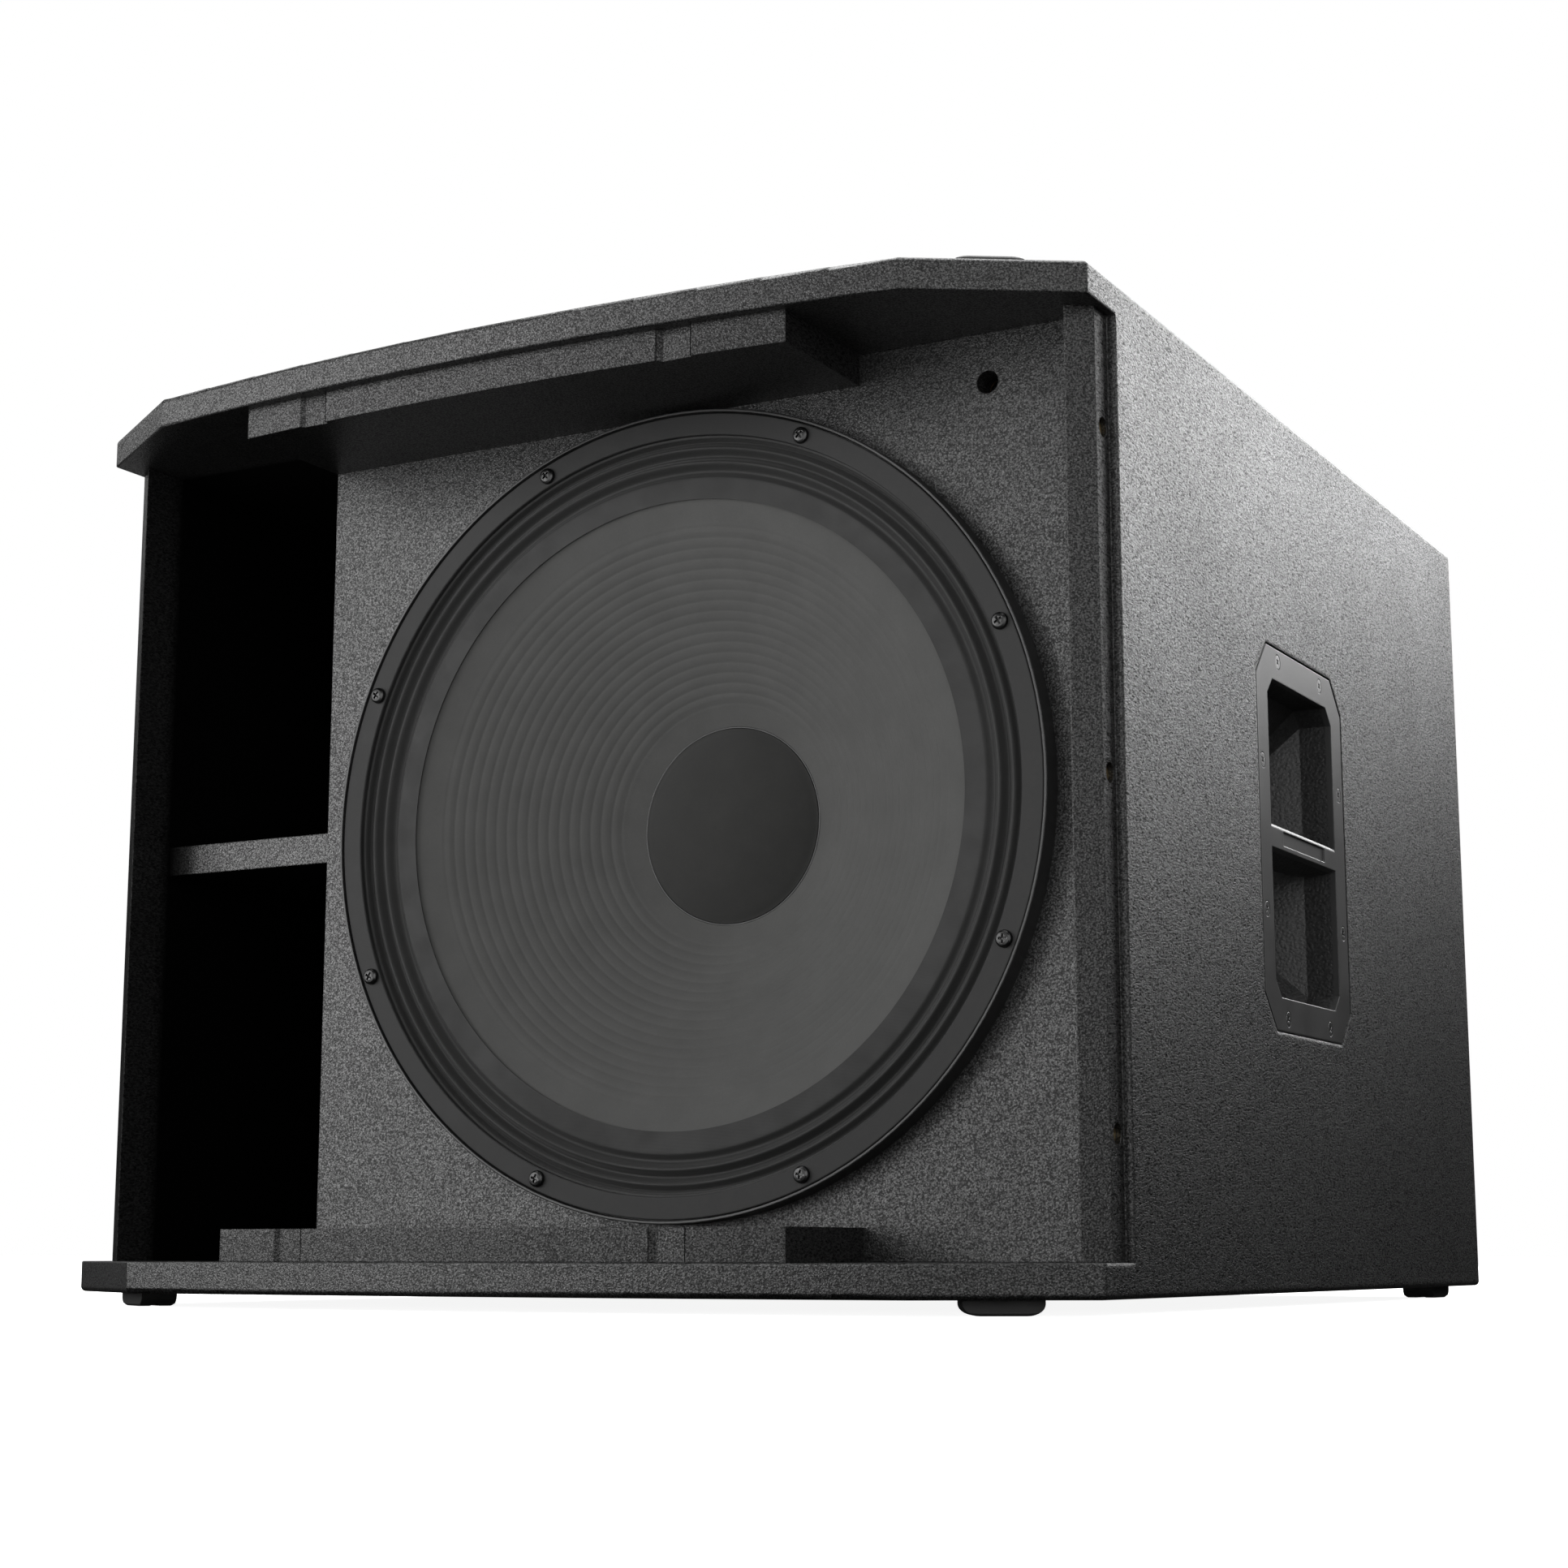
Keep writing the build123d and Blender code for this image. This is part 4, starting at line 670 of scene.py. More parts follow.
def sink_aluminium():
    """Black-anodised extrusion with die lines running up the fins."""
    mat = Material("sink_aluminium")
    die = mat.noise(scale=1500.0, detail=3.0, roughness=0.6,
                    vector=mat.mapping(scale=(1.0, 1.0, 0.01)))
    cloud = mat.noise(scale=40.0, detail=3.0, roughness=0.6)
    edge, bevel = mat.edges(radius=0.0006)
    worn = mat.wear(edge, scale=180.0, over=(0.48, 0.6), to=(0.0, 0.8))
    mat.surface(colour=worn.mix_colour(die.tones(0.016, 0.028), 0.30), metal=0.6,
                rough=die.remap(to=(0.34, 0.46)) + cloud * 0.06, spec=0.5,
                normal=mat.bump(die, distance=0.00008, normal=bevel))


# name, base grey, roughness, metallic, scratch relief, cast relief, edge wear, worn grey, tint
METALS = (
    ("black_screws", 0.055, 0.30, 1.0, 0.6, 0.3, 0.55, 0.30, (1, 1, 1)),
    ("countersunk_black", 0.17, 0.30, 1.0, 0.6, 0.3, 0.95, 0.50, (1, 1, 1)),
    ("zinc_steel", 0.55, 0.32, 1.0, 0.7, 0.2, 0.25, 0.75, (1.0, 0.985, 0.95)),
    ("socket_steel", 0.032, 0.38, 0.7, 0.6, 0.5, 0.5, 0.32, (1, 1, 1)),
    ("insert_brass", 0.55, 0.30, 1.0, 0.7, 0.2, 0.3, 0.80, (1.0, 0.78, 0.42)),
    ("magnet_steel", 0.42, 0.34, 1.0, 0.7, 0.2, 0.2, 0.60, (0.98, 1.0, 0.93)),
    ("latch_metal", 0.50, 0.28, 1.0, 0.5, 0.1, 0.3, 0.70, (1, 0.99, 0.97)),
    ("encoder_metal", 0.55, 0.28, 1.0, 0.6, 0.1, 0.3, 0.75, (1, 0.99, 0.96)),
)
# name, base grey, roughness, relief depth, relief scale, tint
PLASTICS = (
    ("coil_former", 0.32, 0.36, 0.00004, 1500.0, (1.0, 0.66, 0.30)),
    ("cable_jacket", 0.02, 0.50, 0.00006, 1200.0, (1, 1, 1)),
    ("knob_plastic", 0.020, 0.44, 0.00008, 1800.0, (1, 1, 1)),
    ("supply_parts", 0.03, 0.34, 0.00004, 1500.0, (0.8, 0.9, 1.2)),
    # glue: near black, also standing in for the shadow line at the dust cap's rim as painted shade
    ("glue_and_rim_shade", 0.010, 0.34, 0.00004, 900.0, (1, 1, 1)),
    ("cable_red", 0.30, 0.42, 0.00005, 1100.0, (1.0, 0.06, 0.05)),
    ("cable_black", 0.018, 0.42, 0.00005, 1100.0, (1, 1, 1)),
)


def make_materials():
    coated("coated_plywood")
    coated("coated_cleat", cleat=True)
    bare_plywood()
    handle_plastic()
    rubber("foot_rubber", base=0.026, rough=0.5, depth=0.00008, scale=1500.0, spec=0.35)
    rubber("gasket_rubber", base=0.019, rough=0.6, depth=0.0001, scale=900.0, spec=0.28)
    for row in METALS:
        metal(*row)
    powder("cast_frame", dark=0.0136, light=0.0192, chipped=0.094, rough=(0.32, 0.41),
           scale=2200.0, depth=0.00007)
    cloth("surround_cloth", base=0.020, pitch=0.0009, rough=0.62, tint=(1.0, 1.0, 0.985),
          depth=0.00010)
    cloth("spider_cloth", base=0.30, pitch=0.0012, rough=0.7, tint=(1.0, 0.74, 0.36),
          depth=0.0002)
    paper("cone_paper", base=0.068, depth=0.00010, rough=0.82, tint=(1.0, 1.0, 0.975), spec=0.18)
    paper("cap_paper", base=0.031, depth=0.00007, rough=0.86, tint=(1.0, 1.0, 0.97), spec=0.06)
    coil_copper()
    ferrite()
    for row in PLASTICS:
        plastic(*row)
    plastic("rocker_plastic", base=0.015, rough=0.26, depth=0.00003, scale=2600.0, spec=0.55,
            coat=0.2)
    moulded("socket_plastic", dark=0.013, light=0.019, worn=0.05, rough=(0.30, 0.40),
            depth=0.00005, scale=2600.0, contacts=socket_contacts)
    powder("amp_panel", dark=0.012, light=0.017, chipped=0.09, rough=(0.40, 0.49),
           scale=1500.0, depth=0.00013, ink=panel_ink)
    sink_aluminium()
    display_window()
    circuit_board()
    wadding()


CORNERS = ("front_left", "front_right", "rear_left", "rear_right")
# the frame pieces made of each material
MATERIAL_PIECES = {
    "coated_plywood": ("top_panel", "bottom_panel", "left_side_panel", "right_side_panel",
                       "front_baffle", "port_shelf", "port_wall", "rear_panel"),
    "coated_cleat": ("top_grille_cleat", "bottom_grille_cleat"),
    "bare_plywood": ("window_brace",),
    "handle_plastic": ("right_handle", "left_handle"),
    "countersunk_black": ("countersunk_screws",),
    "black_screws": ("pad_screws", "driver_screws", "amp_screws"),
    "zinc_steel": ("driver_tee_nuts",),
    "insert_brass": ("grille_inserts",),
    "socket_steel": ("pole_socket",),
    "cast_frame": ("driver_basket",),
    "gasket_rubber": ("driver_gasket",),
    "surround_cloth": ("surround",),
    "cone_paper": ("cone",),
    "cap_paper": ("dust_cap",),
    "spider_cloth": ("spider",),
    "coil_former": ("voice_coil_former",),
    "coil_copper": ("voice_coil_winding", "tinsel_leads"),
    "magnet_steel": ("magnet_top_plate", "pole_yoke"),
    "ferrite": ("ferrite_magnet",),
    "cable_jacket": ("speaker_cable",),
    "amp_panel": ("amp_plate",),
    "sink_aluminium": ("amp_heatsink",),
    "window_plastic": ("display_window",),
    "socket_plastic": ("driver_terminals", "input_socket_a", "input_socket_b", "link_sockets",
                       "mains_inlet", "fuse_drawer", "switch_housing"),
    "rocker_plastic": ("power_rocker",),
    "latch_metal": ("input_latch_a", "input_latch_b"),
    "encoder_metal": ("encoder_sleeve",),
    "knob_plastic": ("encoder_knob",),
    "board": ("amp_circuit_board",),
    "supply_parts": ("power_supply_parts",),
    "wadding": ("top_damping_pad", "bottom_damping_pad"),
    "foot_rubber": [corner + part for corner in CORNERS for part in ("_foot", "_stacking_pad")],
}


def dress_frame():
    """Give every frame piece its material."""
    material_of = {piece: MATS[name] for name, pieces in MATERIAL_PIECES.items()
                   for piece in pieces}
    for name, obj in NODES.items():
        material = material_of[name]
        if obj.material_slots:
            for slot in obj.material_slots:
                slot.material = material
        else:
            obj.data.materials.append(material)


make_materials()
dress_frame()


# ---------------------------------------------------------------------------
# mesh helpers
# ---------------------------------------------------------------------------
def link_object(name, mesh, material):
    obj = bpy.data.objects.new(name, mesh)
    scene.collection.objects.link(obj)
    mesh.materials.append(MATS[material])
    return obj


def mesh_object(name, verts, faces, material, sharp_degrees=40.0):
    mesh = bpy.data.meshes.new(name)
    mesh.from_pydata([tuple(vert) for vert in verts], [], faces)
    mesh.validate()
    bm = bmesh.new()
    bm.from_mesh(mesh)
    bmesh.ops.remove_doubles(bm, verts=bm.verts, dist=1e-7)
    bmesh.ops.recalc_face_normals(bm, faces=bm.faces)
    for face in bm.faces:
        face.smooth = True
    limit = math.radians(sharp_degrees)
    for edge in bm.edges:
        edge.smooth = not (len(edge.link_faces) == 2 and edge.calc_face_angle(0.0) > limit)
    bm.to_mesh(mesh)
    bm.free()
    return link_object(name, mesh, material)


def place(obj, replaces=None, rides=None):
    if replaces:
        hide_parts(replaces)
    if rides:
        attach(obj, rides)


def driver_point(radius, depth, degrees):
    """Millimetres and degrees about the driver axis to metres in the frame."""
    angle = math.radians(degrees)
    return Vector((DRIVER_X + radius * MM * math.cos(angle), FACE_Y + depth * MM,
                   DRIVER_Z - radius * MM * math.sin(angle)))


def lathe(name, profile, segments, material, bend=None, sharp_degrees=40.0):
    """Turn a closed profile of (radius, depth) about the driver axis. bend(radius, depth, degrees)
    may move each point."""
    on_axis = 1e-6
    verts, faces = [], []
    count = len(profile)
    for k in range(segments):
        degrees = 360.0 * k / segments
        for radius, depth in profile:
            if bend:
                radius, depth = bend(radius, depth, degrees)
            verts.append(driver_point(radius, depth, degrees))
    for k in range(segments):
        here, beyond = k * count, (k + 1) % segments * count
        for i in range(count):
            j = (i + 1) % count
            i_on_axis, j_on_axis = profile[i][0] < on_axis, profile[j][0] < on_axis
            if i_on_axis and j_on_axis:
                continue
            if i_on_axis:
                faces.append((here + i, here + j, beyond + j))
            elif j_on_axis:
                faces.append((here + i, here + j, beyond + i))
            else:
                faces.append((here + i, here + j, beyond + j, beyond + i))
    return mesh_object(name, verts, faces, material, sharp_degrees)


def catmull(points, steps):
    """A smooth path through the points, with `steps` points to each span."""
    points = [Vector(point) for point in points]
    points = [points[0] * 2 - points[1]] + points + [points[-1] * 2 - points[-2]]
    path = []
    for i in range(1, len(points) - 2):
        p0, p1, p2, p3 = points[i - 1:i + 3]
        for k in range(steps):
            t = k / steps
            path.append(0.5 * ((2 * p1) + (p2 - p0) * t
                               + (2 * p0 - 5 * p1 + 4 * p2 - p3) * t * t
                               + (3 * p1 - p0 - 3 * p2 + p3) * t ** 3))
    path.append(points[-2])
    return path


def frames_along(path):
    """Point, normal and binormal, carried along the path without twist."""
    frames, normal = [], None
    for i, point in enumerate(path):
        tangent = (path[min(i + 1, len(path) - 1)] - path[max(i - 1, 0)]).normalized()
        if normal is None:
            normal = tangent.orthogonal().normalized()
        normal = (normal - tangent * normal.dot(tangent)).normalized()
        frames.append((point, normal, tangent.cross(normal)))
    return frames


def around(frame, radius, angle):
    point, normal, binormal = frame
    return point + normal * (radius * math.cos(angle)) + binormal * (radius * math.sin(angle))


def tube(path, radius, sides):
    """Vertices and faces of a capped tube."""
    verts = [around(frame, radius, 2 * math.pi * k / sides)
             for frame in frames_along(path) for k in range(sides)]
    faces = []
    for i in range(len(path) - 1):
        here, beyond = i * sides, (i + 1) * sides
        for k in range(sides):
            k2 = (k + 1) % sides
            faces.append((here + k, here + k2, beyond + k2, beyond + k))
    faces.append(tuple(reversed(range(sides))))
    faces.append(tuple((len(path) - 1) * sides + k for k in range(sides)))
    return verts, faces


def twisted(path, strands, offset, radius, pitch, sides):
    """Tubes laid round a path at a distance of offset, one turn to each pitch."""
    frames = frames_along(path)
    travelled = [0.0]
    for start, end in zip(path, path[1:]):
        travelled.append(travelled[-1] + (end - start).length)
    return [tube([around(frame, offset, 2 * math.pi * (along / pitch + k / strands))
                  for frame, along in zip(frames, travelled)], radius, sides)
            for k in range(strands)]


def joined(parts):
    verts, faces = [], []
    for part_verts, part_faces in parts:
        offset = len(verts)
        verts += part_verts
        faces += [tuple(i + offset for i in face) for face in part_faces]
    return verts, faces


def radial_blend(obj):
    """Bake the object's transform into its mesh."""
    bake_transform(obj)


# ---------------------------------------------------------------------------
# driver cone: plain glued rim, pressed ribs, plain neck (millimetres)
# ---------------------------------------------------------------------------
RIM_RADIUS, RIM_DEPTH, NECK_RADIUS = 180.0, -5.5, 50.75
CONE_SLOPE = 63.5 / 123.0
RIM_CORNER = (178.4, 181.6)      # radii between which the rim turns into the cone
RIB_RADIUS, RIB_PITCH, RIB_COUNT, RIB_HEIGHT = 71.0, 5.5, 18, 0.50
RIBS_INNER = RIB_RADIUS - RIB_PITCH / 2
RIBS_OUTER = RIB_RADIUS + RIB_PITCH * (RIB_COUNT - 0.5)
RIB_STEPS = 10                   # stations to each rib


def slope_depth(radius):
    return RIM_DEPTH + CONE_SLOPE * (RIM_RADIUS - radius)


def cone_front(radius):
    """Depth of the front face of the paper, ribs included."""
    corner_inner, corner_outer = RIM_CORNER
    if corner_inner < radius < corner_outer:
        t = (corner_outer - radius) / (corner_outer - corner_inner)
        return RIM_DEPTH + (slope_depth(corner_inner) - RIM_DEPTH) * t * t
    if radius >= RIM_RADIUS:
        return RIM_DEPTH
    depth = slope_depth(radius)
    if RIBS_INNER < radius < RIBS_OUTER:
        ease = min(1.0, (radius - RIBS_INNER) / RIB_PITCH, (RIBS_OUTER - radius) / RIB_PITCH)
        ridge = abs(math.sin(math.pi * (radius - RIB_RADIUS) / RIB_PITCH)) ** 0.75
        depth -= RIB_HEIGHT * ease * ridge
    return depth


def build_cone():
    rim_thickness, thickness = 1.25, 1.55
    radii = [191.0, 186.0, 181.6, 180.6, 180.0, 179.4, 178.4, 176.0, 173.0, 170.0]
    radii += [RIBS_OUTER - RIB_PITCH / RIB_STEPS * k for k in range(RIB_COUNT * RIB_STEPS + 1)]
    radii += [66.5, 62.0, 58.0, 54.0, NECK_RADIUS]
    front = [(radius, cone_front(radius)) for radius in radii]
    back = [(radius, depth + (rim_thickness if radius >= 180.6 else thickness))
            for radius, depth in reversed(front)]
    cone = lathe("ribbed_cone", front + back, 256, "cone_paper", sharp_degrees=55.0)
    place(cone, replaces="cone", rides="cone_assembly")


build_cone()

# ---------------------------------------------------------------------------
# dust cap: shallow dome with a glue land pressed into its rim, and its glue bead (millimetres)
# ---------------------------------------------------------------------------
CAP_RADIUS, CAP_RISE, CAP_EDGE_DEPTH = 57.0, 18.0, 58.0
CAP_LAND_RADIUS = 52.5
DOME_RADIUS = (CAP_RADIUS ** 2 + CAP_RISE ** 2) / (2 * CAP_RISE)
DOME_CENTRE = CAP_EDGE_DEPTH - CAP_RISE + DOME_RADIUS


def cap_front(radius):
    depth = DOME_CENTRE - math.sqrt(DOME_RADIUS ** 2 - radius ** 2) - 1.1
    if radius > CAP_LAND_RADIUS:
        t = (radius - CAP_LAND_RADIUS) / (CAP_RADIUS - CAP_LAND_RADIUS)
        depth += 0.55 * t * t * (1 - t) * 3.0
    return depth


def build_dust_cap():
    radii = [CAP_RADIUS * i / 30 for i in range(28)]
    radii += [CAP_LAND_RADIUS, 53.6, 54.7, 55.6, 56.3, 56.8, CAP_RADIUS]
    profile = [(radius, cap_front(radius)) for radius in radii]
    profile.append((CAP_RADIUS, cap_front(CAP_RADIUS) + 0.45))
    profile += [(radius, cap_front(radius) + 0.85) for radius in reversed(radii) if radius < 56.6]
    cap = lathe("domed_dust_cap", profile, 160, "cap_paper", sharp_degrees=50.0)
    place(cap, replaces="dust_cap", rides="cone_assembly")


def build_glue_bead():
    """Glue where the cap meets the cone; it swells and thins a little on its way round. Its
    near-black tone also stands in for the shadow line at the cap's rim, as painted shade.
    """
    radius, half_width, height = 57.75, 0.62, 0.42
    seat = cone_front(radius)
    profile = [(radius + half_width * math.cos(math.pi * k / 8),
                seat - 0.05 - height * math.sin(math.pi * k / 8)) for k in range(9)]
    profile += [(radius - half_width, seat + 0.5), (radius + half_width, seat + 0.35)]

    def uneven(radius, depth, degrees):
        if depth < seat - 0.1:
            angle = math.radians(degrees)
            depth -= 0.10 * (math.sin(3 * angle + 0.7) + 0.6 * math.sin(11 * angle)
                             + 0.4 * math.sin(23 * angle + 1.3))
        return radius, depth

    glue_and_rim_shade = lathe("dust_cap_glue", profile, 240, "glue_and_rim_shade", bend=uneven, sharp_degrees=60.0)
    place(glue_and_rim_shade, rides="cone_assembly")


build_dust_cap()
build_glue_bead()

# ---------------------------------------------------------------------------
# surround: doped cloth with two ridges; its outer land is notched round each screw (millimetres)
# ---------------------------------------------------------------------------
# radius and depth of each crest and trough, from the cone outward
SURROUND_KNOTS = [(190.5, -6.2), (194.6, -3.6), (199.4, -8.2), (203.4, -3.6), (207.6, -8.2),
                  (211.2, -5.2), (213.2, -9.5)]
SURROUND_INNER, SURROUND_OUTER = 178.6, 226.4
ROLL_STEPS = 54
SCREW_DEGREES = [22.5 + 45 * i for i in range(8)]
NOTCH_RADIUS, NOTCH_HALF_DEGREES = 216.6, 1.35


def surround_depth(radius):
    if radius <= SURROUND_KNOTS[0][0]:
        return SURROUND_KNOTS[0][1]
    for (radius_a, depth_a), (radius_b, depth_b) in zip(SURROUND_KNOTS, SURROUND_KNOTS[1:]):
        if radius <= radius_b:
            turn = math.pi * (radius - radius_a) / (radius_b - radius_a)
            return depth_a + (depth_b - depth_a) * (1 - math.cos(turn)) / 2
    return SURROUND_KNOTS[-1][1]


def notched(radius, depth, degrees):
    """Pull the outer edge in at each screw."""
    if radius > 226.0:
        for screw in SCREW_DEGREES:
            if abs((degrees - screw + 180) % 360 - 180) < NOTCH_HALF_DEGREES:
                return NOTCH_RADIUS, depth
    return radius, depth


def build_surround():
    roll_inner, (roll_outer, land_depth) = SURROUND_KNOTS[0][0], SURROUND_KNOTS[-1]
    land_half = 0.42
    radii = [SURROUND_INNER, 179.2, 184.0, 189.0, roll_inner]
    radii += [roll_inner + (roll_outer - roll_inner) * i / ROLL_STEPS
              for i in range(1, ROLL_STEPS + 1)]
    radii += [214.6, 216.4]

    def face(radius, side):
        half_thickness = 0.45 if radius > 190 else 0.40
        return radius, surround_depth(radius) + side * half_thickness

    profile = [face(radius, -1) for radius in radii]
    profile += [(SURROUND_OUTER, land_depth - land_half), (SURROUND_OUTER, land_depth + land_half)]
    profile += [face(radius, 1) for radius in reversed(radii) if radius > 179.0]
    profile.append((SURROUND_INNER, surround_depth(SURROUND_INNER) + 0.1))
    surround = lathe("doped_surround", profile, 288, "surround_cloth", bend=notched,
                     sharp_degrees=50.0)
    place(surround, replaces="surround")
    radial_blend(surround)


build_surround()

# ---------------------------------------------------------------------------
# spider: corrugated resin cloth (millimetres)
# ---------------------------------------------------------------------------
SPIDER_DEPTH, SPIDER_HALF_THICKNESS = 92.9, 0.33
WAVES_INNER, WAVES_OUTER, WAVE_HEIGHT, HALF_WAVES, WAVE_STEPS = 57.0, 79.0, 2.4, 6, 66


def spider_depth(radius):
    if radius < WAVES_INNER or radius > WAVES_OUTER:
        return SPIDER_DEPTH
    turn = math.pi * (radius - WAVES_INNER) / (WAVES_OUTER - WAVES_INNER) * HALF_WAVES
    fade = 1 if WAVES_INNER + 1 < radius < WAVES_OUTER - 1 else 0.6
    return SPIDER_DEPTH - WAVE_HEIGHT * math.sin(turn) * fade


def build_spider():
    radii = [51.0, 53.0, 55.0, WAVES_INNER]
    radii += [WAVES_INNER + (WAVES_OUTER - WAVES_INNER) * i / WAVE_STEPS
              for i in range(1, WAVE_STEPS + 1)]
    radii += [82.0, 86.0, 89.0]
    profile = [(radius, spider_depth(radius) - SPIDER_HALF_THICKNESS) for radius in radii]
    profile += [(radius, spider_depth(radius) + SPIDER_HALF_THICKNESS)
                for radius in reversed(radii)]
    spider = lathe("corrugated_spider", profile, 192, "spider_cloth", sharp_degrees=60.0)
    place(spider, replaces="spider")
    radial_blend(spider)


build_spider()

# ---------------------------------------------------------------------------
# wiring
# ---------------------------------------------------------------------------
# millimetres to the left of the driver axis, off its level, and behind the baffle face
LEAD_STATIONS = ((146.0, 3.5, 56.6), (132.0, 3.5, 63.8), (118.0, 3.5, 68.0),
                 (107.0, 3.3, 67.0), (98.0, 3.0, 62.0), (87.0, 3.0, 47.2))
SOLDER_STATIONS = (-0.0002, 0.0008, 0.0022, 0.0030)   # metres inward from a lead's end


def build_leads():
    """Two three-strand copper braids, below and above the driver's level, with soldered ends."""
    parts = []
    for side in (-1, 1):
        path = catmull([Vector((DRIVER_X - left * MM, FACE_Y + depth * MM,
                                DRIVER_Z + off * side * MM))
                        for left, off, depth in LEAD_STATIONS], steps=18)
        parts += twisted(path, strands=3, offset=0.00046, radius=0.00042, pitch=0.0046, sides=8)
        for end, following in ((path[0], path[1]), (path[-1], path[-2])):
            inward = (following - end).normalized()
            solder = [end + inward * station for station in SOLDER_STATIONS]
            parts.append(tube(solder, radius=0.00098, sides=12))
    verts, faces = joined(parts)
    leads = mesh_object("braided_tinsel_leads", verts, faces, "coil_copper")
    place(leads, replaces="tinsel_leads")
    radial_blend(leads)


# metres in the frame, from the driver terminals to the circuit board
CABLE_STATIONS = (
    (DRIVER_X - 0.176, FACE_Y + 0.108, DRIVER_Z),
    (DRIVER_X - 0.180, FACE_Y + 0.168, DRIVER_Z - 0.014),
    (-0.085, -0.02, DRIVER_Z + 0.032),
    (-0.060, 0.060, DRIVER_Z + 0.070),
    (-0.042, 0.13, DRIVER_Z + 0.0715),
    (-0.020, 0.200, DRIVER_Z + 0.066),
    (0.010, BOARD_Y - 0.0024, DRIVER_Z + 0.080),
)


def build_cable():
    """A twisted pair, red and black."""
    cores = twisted(catmull(CABLE_STATIONS, steps=16), strands=2, offset=0.00165,
                    radius=0.00155, pitch=0.034, sides=14)
    for (verts, faces), colour, replaced in zip(cores, ("red", "black"), ("speaker_cable", None)):
        core = mesh_object("cable_core_" + colour, verts, faces, "cable_" + colour)
        place(core, replaces=replaced, rides="cabinet")


build_leads()
build_cable()

# ---------------------------------------------------------------------------
# damping pads: polyester wadding, inflated and settled, with tacked dimples
# ---------------------------------------------------------------------------
PAD_STEP, PAD_INSET, PAD_ROUNDING = 0.0075, 0.0035, 0.0075
SETTLE_FRAMES, SETTLE_LIMIT = 14, 0.0045
TACK_PITCH_X, TACK_PITCH_Y, TACK_DEPTH, TACK_SPREAD = 0.09, 0.0825, 0.0052, 0.0085
PAD_CLEARANCE = 0.0004      # kept between the finished pad and its box


def pad_grid(lo, hi):
    """A gridded box with well-rounded edges."""
    lo = Vector(lo) + Vector((PAD_INSET,) * 3)
    hi = Vector(hi) - Vector((PAD_INSET,) * 3)
    size = hi - lo
    count = [max(2, int(round(size[i] / PAD_STEP))) for i in range(3)]
    bm = bmesh.new()
    made = {}

    def vertex(key):
        if key not in made:
            made[key] = bm.verts.new([lo[i] + size[i] * key[i] / count[i] for i in range(3)])
        return made[key]

    for fixed, across, along in ((2, 0, 1), (1, 0, 2), (0, 1, 2)):
        for i in range(count[across]):
            for j in range(count[along]):
                for end in (0, count[fixed]):
                    corners = []
                    for step_i, step_j in ((0, 0), (1, 0), (1, 1), (0, 1)):
                        key = [end] * 3
                        key[across] = i + step_i
                        key[along] = j + step_j
                        corners.append(vertex(tuple(key)))
                    bm.faces.new(corners)
    bmesh.ops.recalc_face_normals(bm, faces=bm.faces)

    centre = (lo + hi) / 2
    half = size / 2
    for vert in bm.verts:
        point = vert.co - centre
        core = Vector([max(-(half[i] - PAD_ROUNDING), min(half[i] - PAD_ROUNDING, point[i]))
                       for i in range(3)])
        out = point - core
        if out.length > PAD_ROUNDING:
            vert.co = centre + core + out.normalized() * PAD_ROUNDING
    return bm


def settle(obj):
    """Inflate the pad as cloth, then hold each point near where it started."""
    mesh = obj.data
    start = np.array([vert.co for vert in mesh.vertices], float)
    bpy.context.view_layer.objects.active = obj
    cloth_settings = obj.modifiers.new("settle", "CLOTH").settings
    cloth_settings.quality = 5
    cloth_settings.mass = 0.15
    cloth_settings.tension_stiffness = 12
    cloth_settings.compression_stiffness = 12
    cloth_settings.shear_stiffness = 6
    cloth_settings.bending_stiffness = 2.0
    cloth_settings.use_pressure = True
    cloth_settings.uniform_pressure_force = 3.0
    cloth_settings.effector_weights.gravity = 0.0
    for frame in range(1, SETTLE_FRAMES + 1):
        scene.frame_set(frame)
    settled = obj.evaluated_get(bpy.context.evaluated_depsgraph_get())
    end = np.array([vert.co for vert in settled.data.vertices], float)
    obj.modifiers.clear()
    scene.frame_set(1)
    move = end - start
    distance = np.linalg.norm(move, axis=1, keepdims=True)
    move *= np.minimum(1.0, SETTLE_LIMIT / np.maximum(distance, 1e-9))
    mesh.vertices.foreach_set("co", (start + move).astype(np.float32).ravel())


def off_tack(position, origin, pitch):
    """Distance to the nearest line of tacks."""
    cell = (position - origin) / pitch - 0.5
    return (cell - round(cell)) * pitch


def roughen(mesh, lo, hi, seed):
    """Push the surface into lumps and fuzz, and pull it down at each tack."""
    bm = bmesh.new()
    bm.from_mesh(mesh)
    bm.normal_update()
    for vert in bm.verts:
        p = vert.co
        lump = mnoise.fractal(Vector((p.x * 26 + seed, p.y * 26, p.z * 60)), 0.9, 2.1, 4)
        fuzz = mnoise.noise(Vector((p.x * 210, p.y * 210 + seed, p.z * 210)))
        push = 0.0015 * lump + 0.0004 * fuzz
        dx = off_tack(p.x, lo.x, TACK_PITCH_X)
        dy = off_tack(p.y, lo.y, TACK_PITCH_Y)
        dimple = math.exp(-(dx * dx + dy * dy) / (2 * TACK_SPREAD ** 2))
        push -= TACK_DEPTH * dimple * abs(vert.normal.z)
        vert.co = p + vert.normal * push
        for i in range(3):
            vert.co[i] = min(hi[i] - PAD_CLEARANCE, max(lo[i] + PAD_CLEARANCE, vert.co[i]))
    for face in bm.faces:
        face.smooth = True
    bm.to_mesh(mesh)
    bm.free()


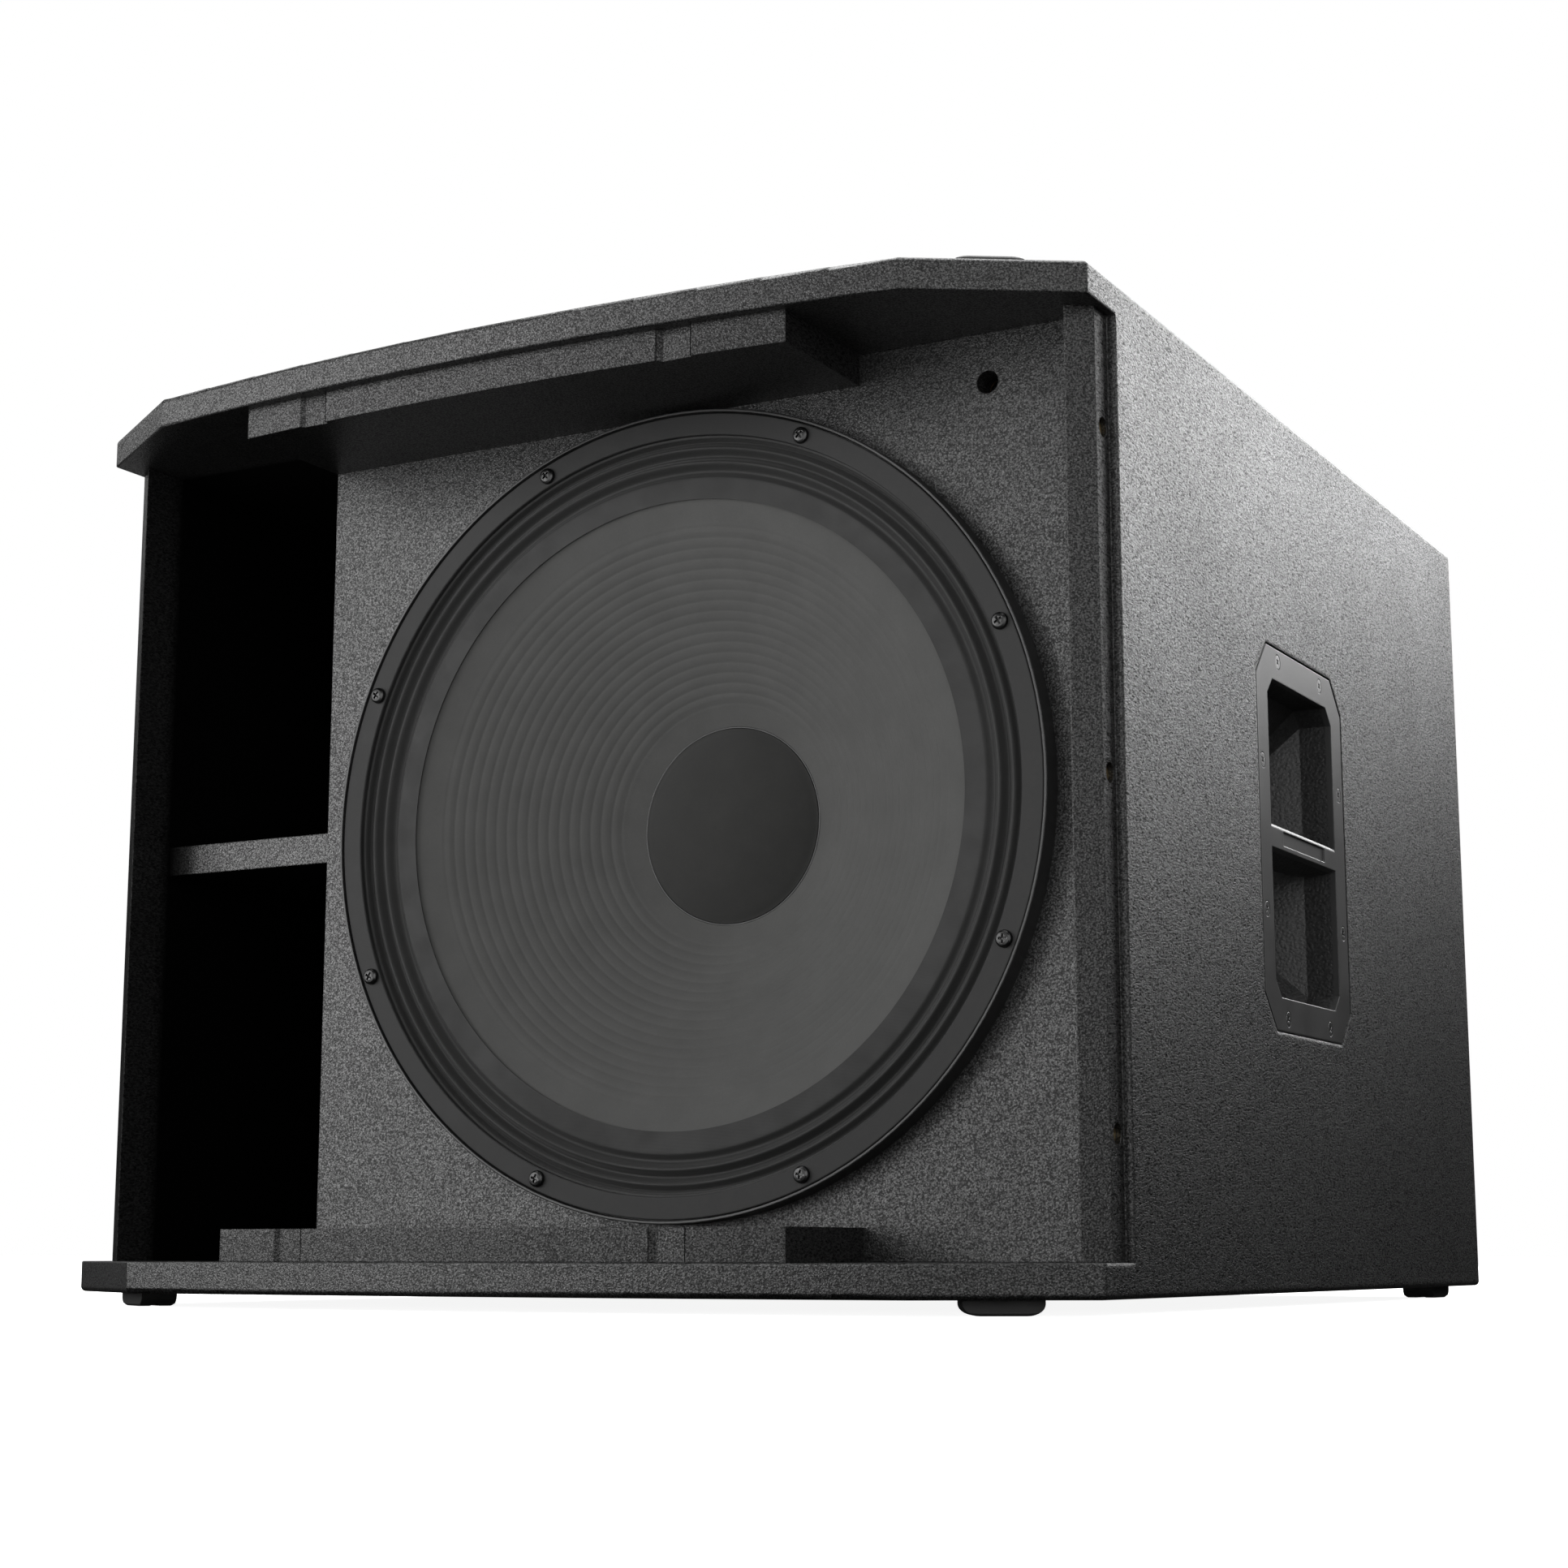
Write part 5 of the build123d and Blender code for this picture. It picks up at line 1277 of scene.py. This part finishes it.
def build_pad(name, piece, seed):
    lo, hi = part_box(piece)
    bm = pad_grid(lo, hi)
    mesh = bpy.data.meshes.new(name)
    bm.to_mesh(mesh)
    bm.free()
    pad = link_object(name, mesh, "wadding")
    settle(pad)
    roughen(mesh, lo, hi, seed)
    smooth = pad.modifiers.new("smooth", "SUBSURF")
    smooth.levels = 1
    smooth.render_levels = 1
    place(pad, replaces=piece, rides="cabinet")


build_pad("top_wadding", "top_damping_pad", seed=3.0)
build_pad("bottom_wadding", "bottom_damping_pad", seed=11.0)


# ---------------------------------------------------------------------------
# stage, light and camera
# ---------------------------------------------------------------------------
def build_floor():
    """White floor that glows, a little less close to the cabinet as a painted soft shadow."""
    half = 14.0
    mesh = bpy.data.meshes.new("studio_floor")
    mesh.from_pydata([(-half, -half, 0), (half, -half, 0), (half, half, 0), (-half, half, 0)],
                     [], [(0, 1, 2, 3)])
    mat = Material("floor_paper")
    mottled = mat.noise(scale=3.0, detail=3.0, roughness=0.6)
    # the glow dims near the cabinet: a painted soft shadow
    away = mat.build("ShaderNodeVectorMath", "Value",
                     {0: mat.mapping(location=(0.0, -0.1, 0.0))}, operation="LENGTH")
    mat.surface(colour=mottled.mix_colour(0.80, 0.84), rough=0.9, spec=0.0, emit=(1, 1, 1),
                emit_power=away.remap(over=(0.35, 1.0), to=(0.90, 1.02)))
    floor = link_object("studio_floor", mesh, "floor_paper")
    floor.visible_diffuse = False
    floor.visible_glossy = False


# A broad softbox in strips wraps round the front left, dimmest at the centre; high softboxes stand
# behind and to the right; a ceiling panel, rear lights and light off the floor fill in.
FRONT_AIM = (0.0, -0.283, 0.974)
# name, location, target, width, height, radiance
LIGHTS = (
    ("front_far_left", (-2.987, -1.43, 0.974), FRONT_AIM, 1.244, 2.297, 2.4),
    ("front_left", (-2.451, -2.34, 0.974), FRONT_AIM, 0.899, 2.297, 3.6),
    ("front_mid_left", (-1.835, -2.904, 0.974), FRONT_AIM, 0.786, 2.297, 7.0),
    ("front_inner", (-1.094, -3.29, 0.974), FRONT_AIM, 0.899, 2.297, 1.7),
    ("front_centre", (0.0, -3.483, 0.974), FRONT_AIM, 1.36, 2.297, 1.1),
    ("front_right", (2.057, -2.734, 0.974), FRONT_AIM, 2.329, 2.297, 2.45),
    ("rear_right_low", (2.123, 4.12, 1.668), (0.333, 0.1, 1.668), 3.555, 0.592, 3.4),
    ("rear_right_high", (2.123, 4.12, 2.603), (0.333, 0.1, 2.603), 3.555, 1.279, 4.4),
    ("right_side", (3.72, 0.396, 2.001), (0.333, 0.1, 2.001), 3.171, 2.253, 1.4),
    ("floor_bounce", (-0.4, -1.9, 0.012), (-0.4, -1.9, 1.0), 3.2, 2.2, 1.6),
    ("overhead", (0, 0.3, 3.2), (0, 0.3, 0.5), 3.0, 3.0, 5.2),
    ("rear_left", (-3.54, 0.35, 1.95), (-0.31, -0.34, 0.53), 1.5, 1.4, 1.8),
    ("floor_left", (-1.3, 0.9, 0.012), (-1.3, 0.9, 1.0), 1.4, 1.4, 0.35),
    ("rear_fill", (-1.2, 4.0, 1.2), (0.0, 0.38, 0.3), 2.6, 1.8, 3.2),
    ("rear_high", (-0.6, 4.4, 2.5), (0.2, 0.0, 0.5), 4.2, 1.6, 5.0),
)


def build_light(name, location, target, width, height, radiance):
    data = bpy.data.lights.new(name, "AREA")
    data.shape = "RECTANGLE"
    data.size = width
    data.size_y = height
    data.energy = radiance * math.pi * width * height
    light = bpy.data.objects.new(name, data)
    scene.collection.objects.link(light)
    light.location = location
    aim = Vector(target) - Vector(location)
    light.rotation_euler = aim.to_track_quat("-Z", "Y").to_euler()
    light.visible_camera = False


def build_world():
    """White to the camera, and a faint fill to everything else."""
    world = bpy.data.worlds.new("studio")
    scene.world = world
    world.use_nodes = True
    tree = world.node_tree
    tree.nodes.clear()
    output = tree.nodes.new("ShaderNodeOutputWorld")
    mix = tree.nodes.new("ShaderNodeMixShader")
    path = tree.nodes.new("ShaderNodeLightPath")
    tree.links.new(path.outputs["Is Camera Ray"], mix.inputs[0])
    fill_strength, camera_strength = 0.015, 1.0
    for slot, strength in ((1, fill_strength), (2, camera_strength)):
        background = tree.nodes.new("ShaderNodeBackground")
        background.inputs["Color"].default_value = (1, 1, 1, 1)
        background.inputs["Strength"].default_value = strength
        tree.links.new(background.outputs[0], mix.inputs[slot])
    tree.links.new(mix.outputs[0], output.inputs[0])


def build_camera():
    """Low in front and to the right, looking slightly up."""
    data = bpy.data.cameras.new("camera")
    camera = bpy.data.objects.new("camera", data)
    scene.collection.objects.link(camera)
    scene.camera = camera
    data.sensor_fit = "HORIZONTAL"
    data.sensor_width = 36.0
    data.lens = 62.324
    data.clip_start = 0.05
    data.clip_end = 60.0
    tilt_up, turn_left = 9.7823, 28.7966
    camera.location = (0.84477, FACE_Y - 1.29093, CAD_LO.z + 0.03135)
    camera.rotation_euler = (math.radians(90 + tilt_up), 0.0, math.radians(turn_left))


build_floor()
for row in LIGHTS:
    build_light(*row)
build_world()
scene.view_settings.view_transform = "Standard"
scene.view_settings.look = "None"
build_camera()
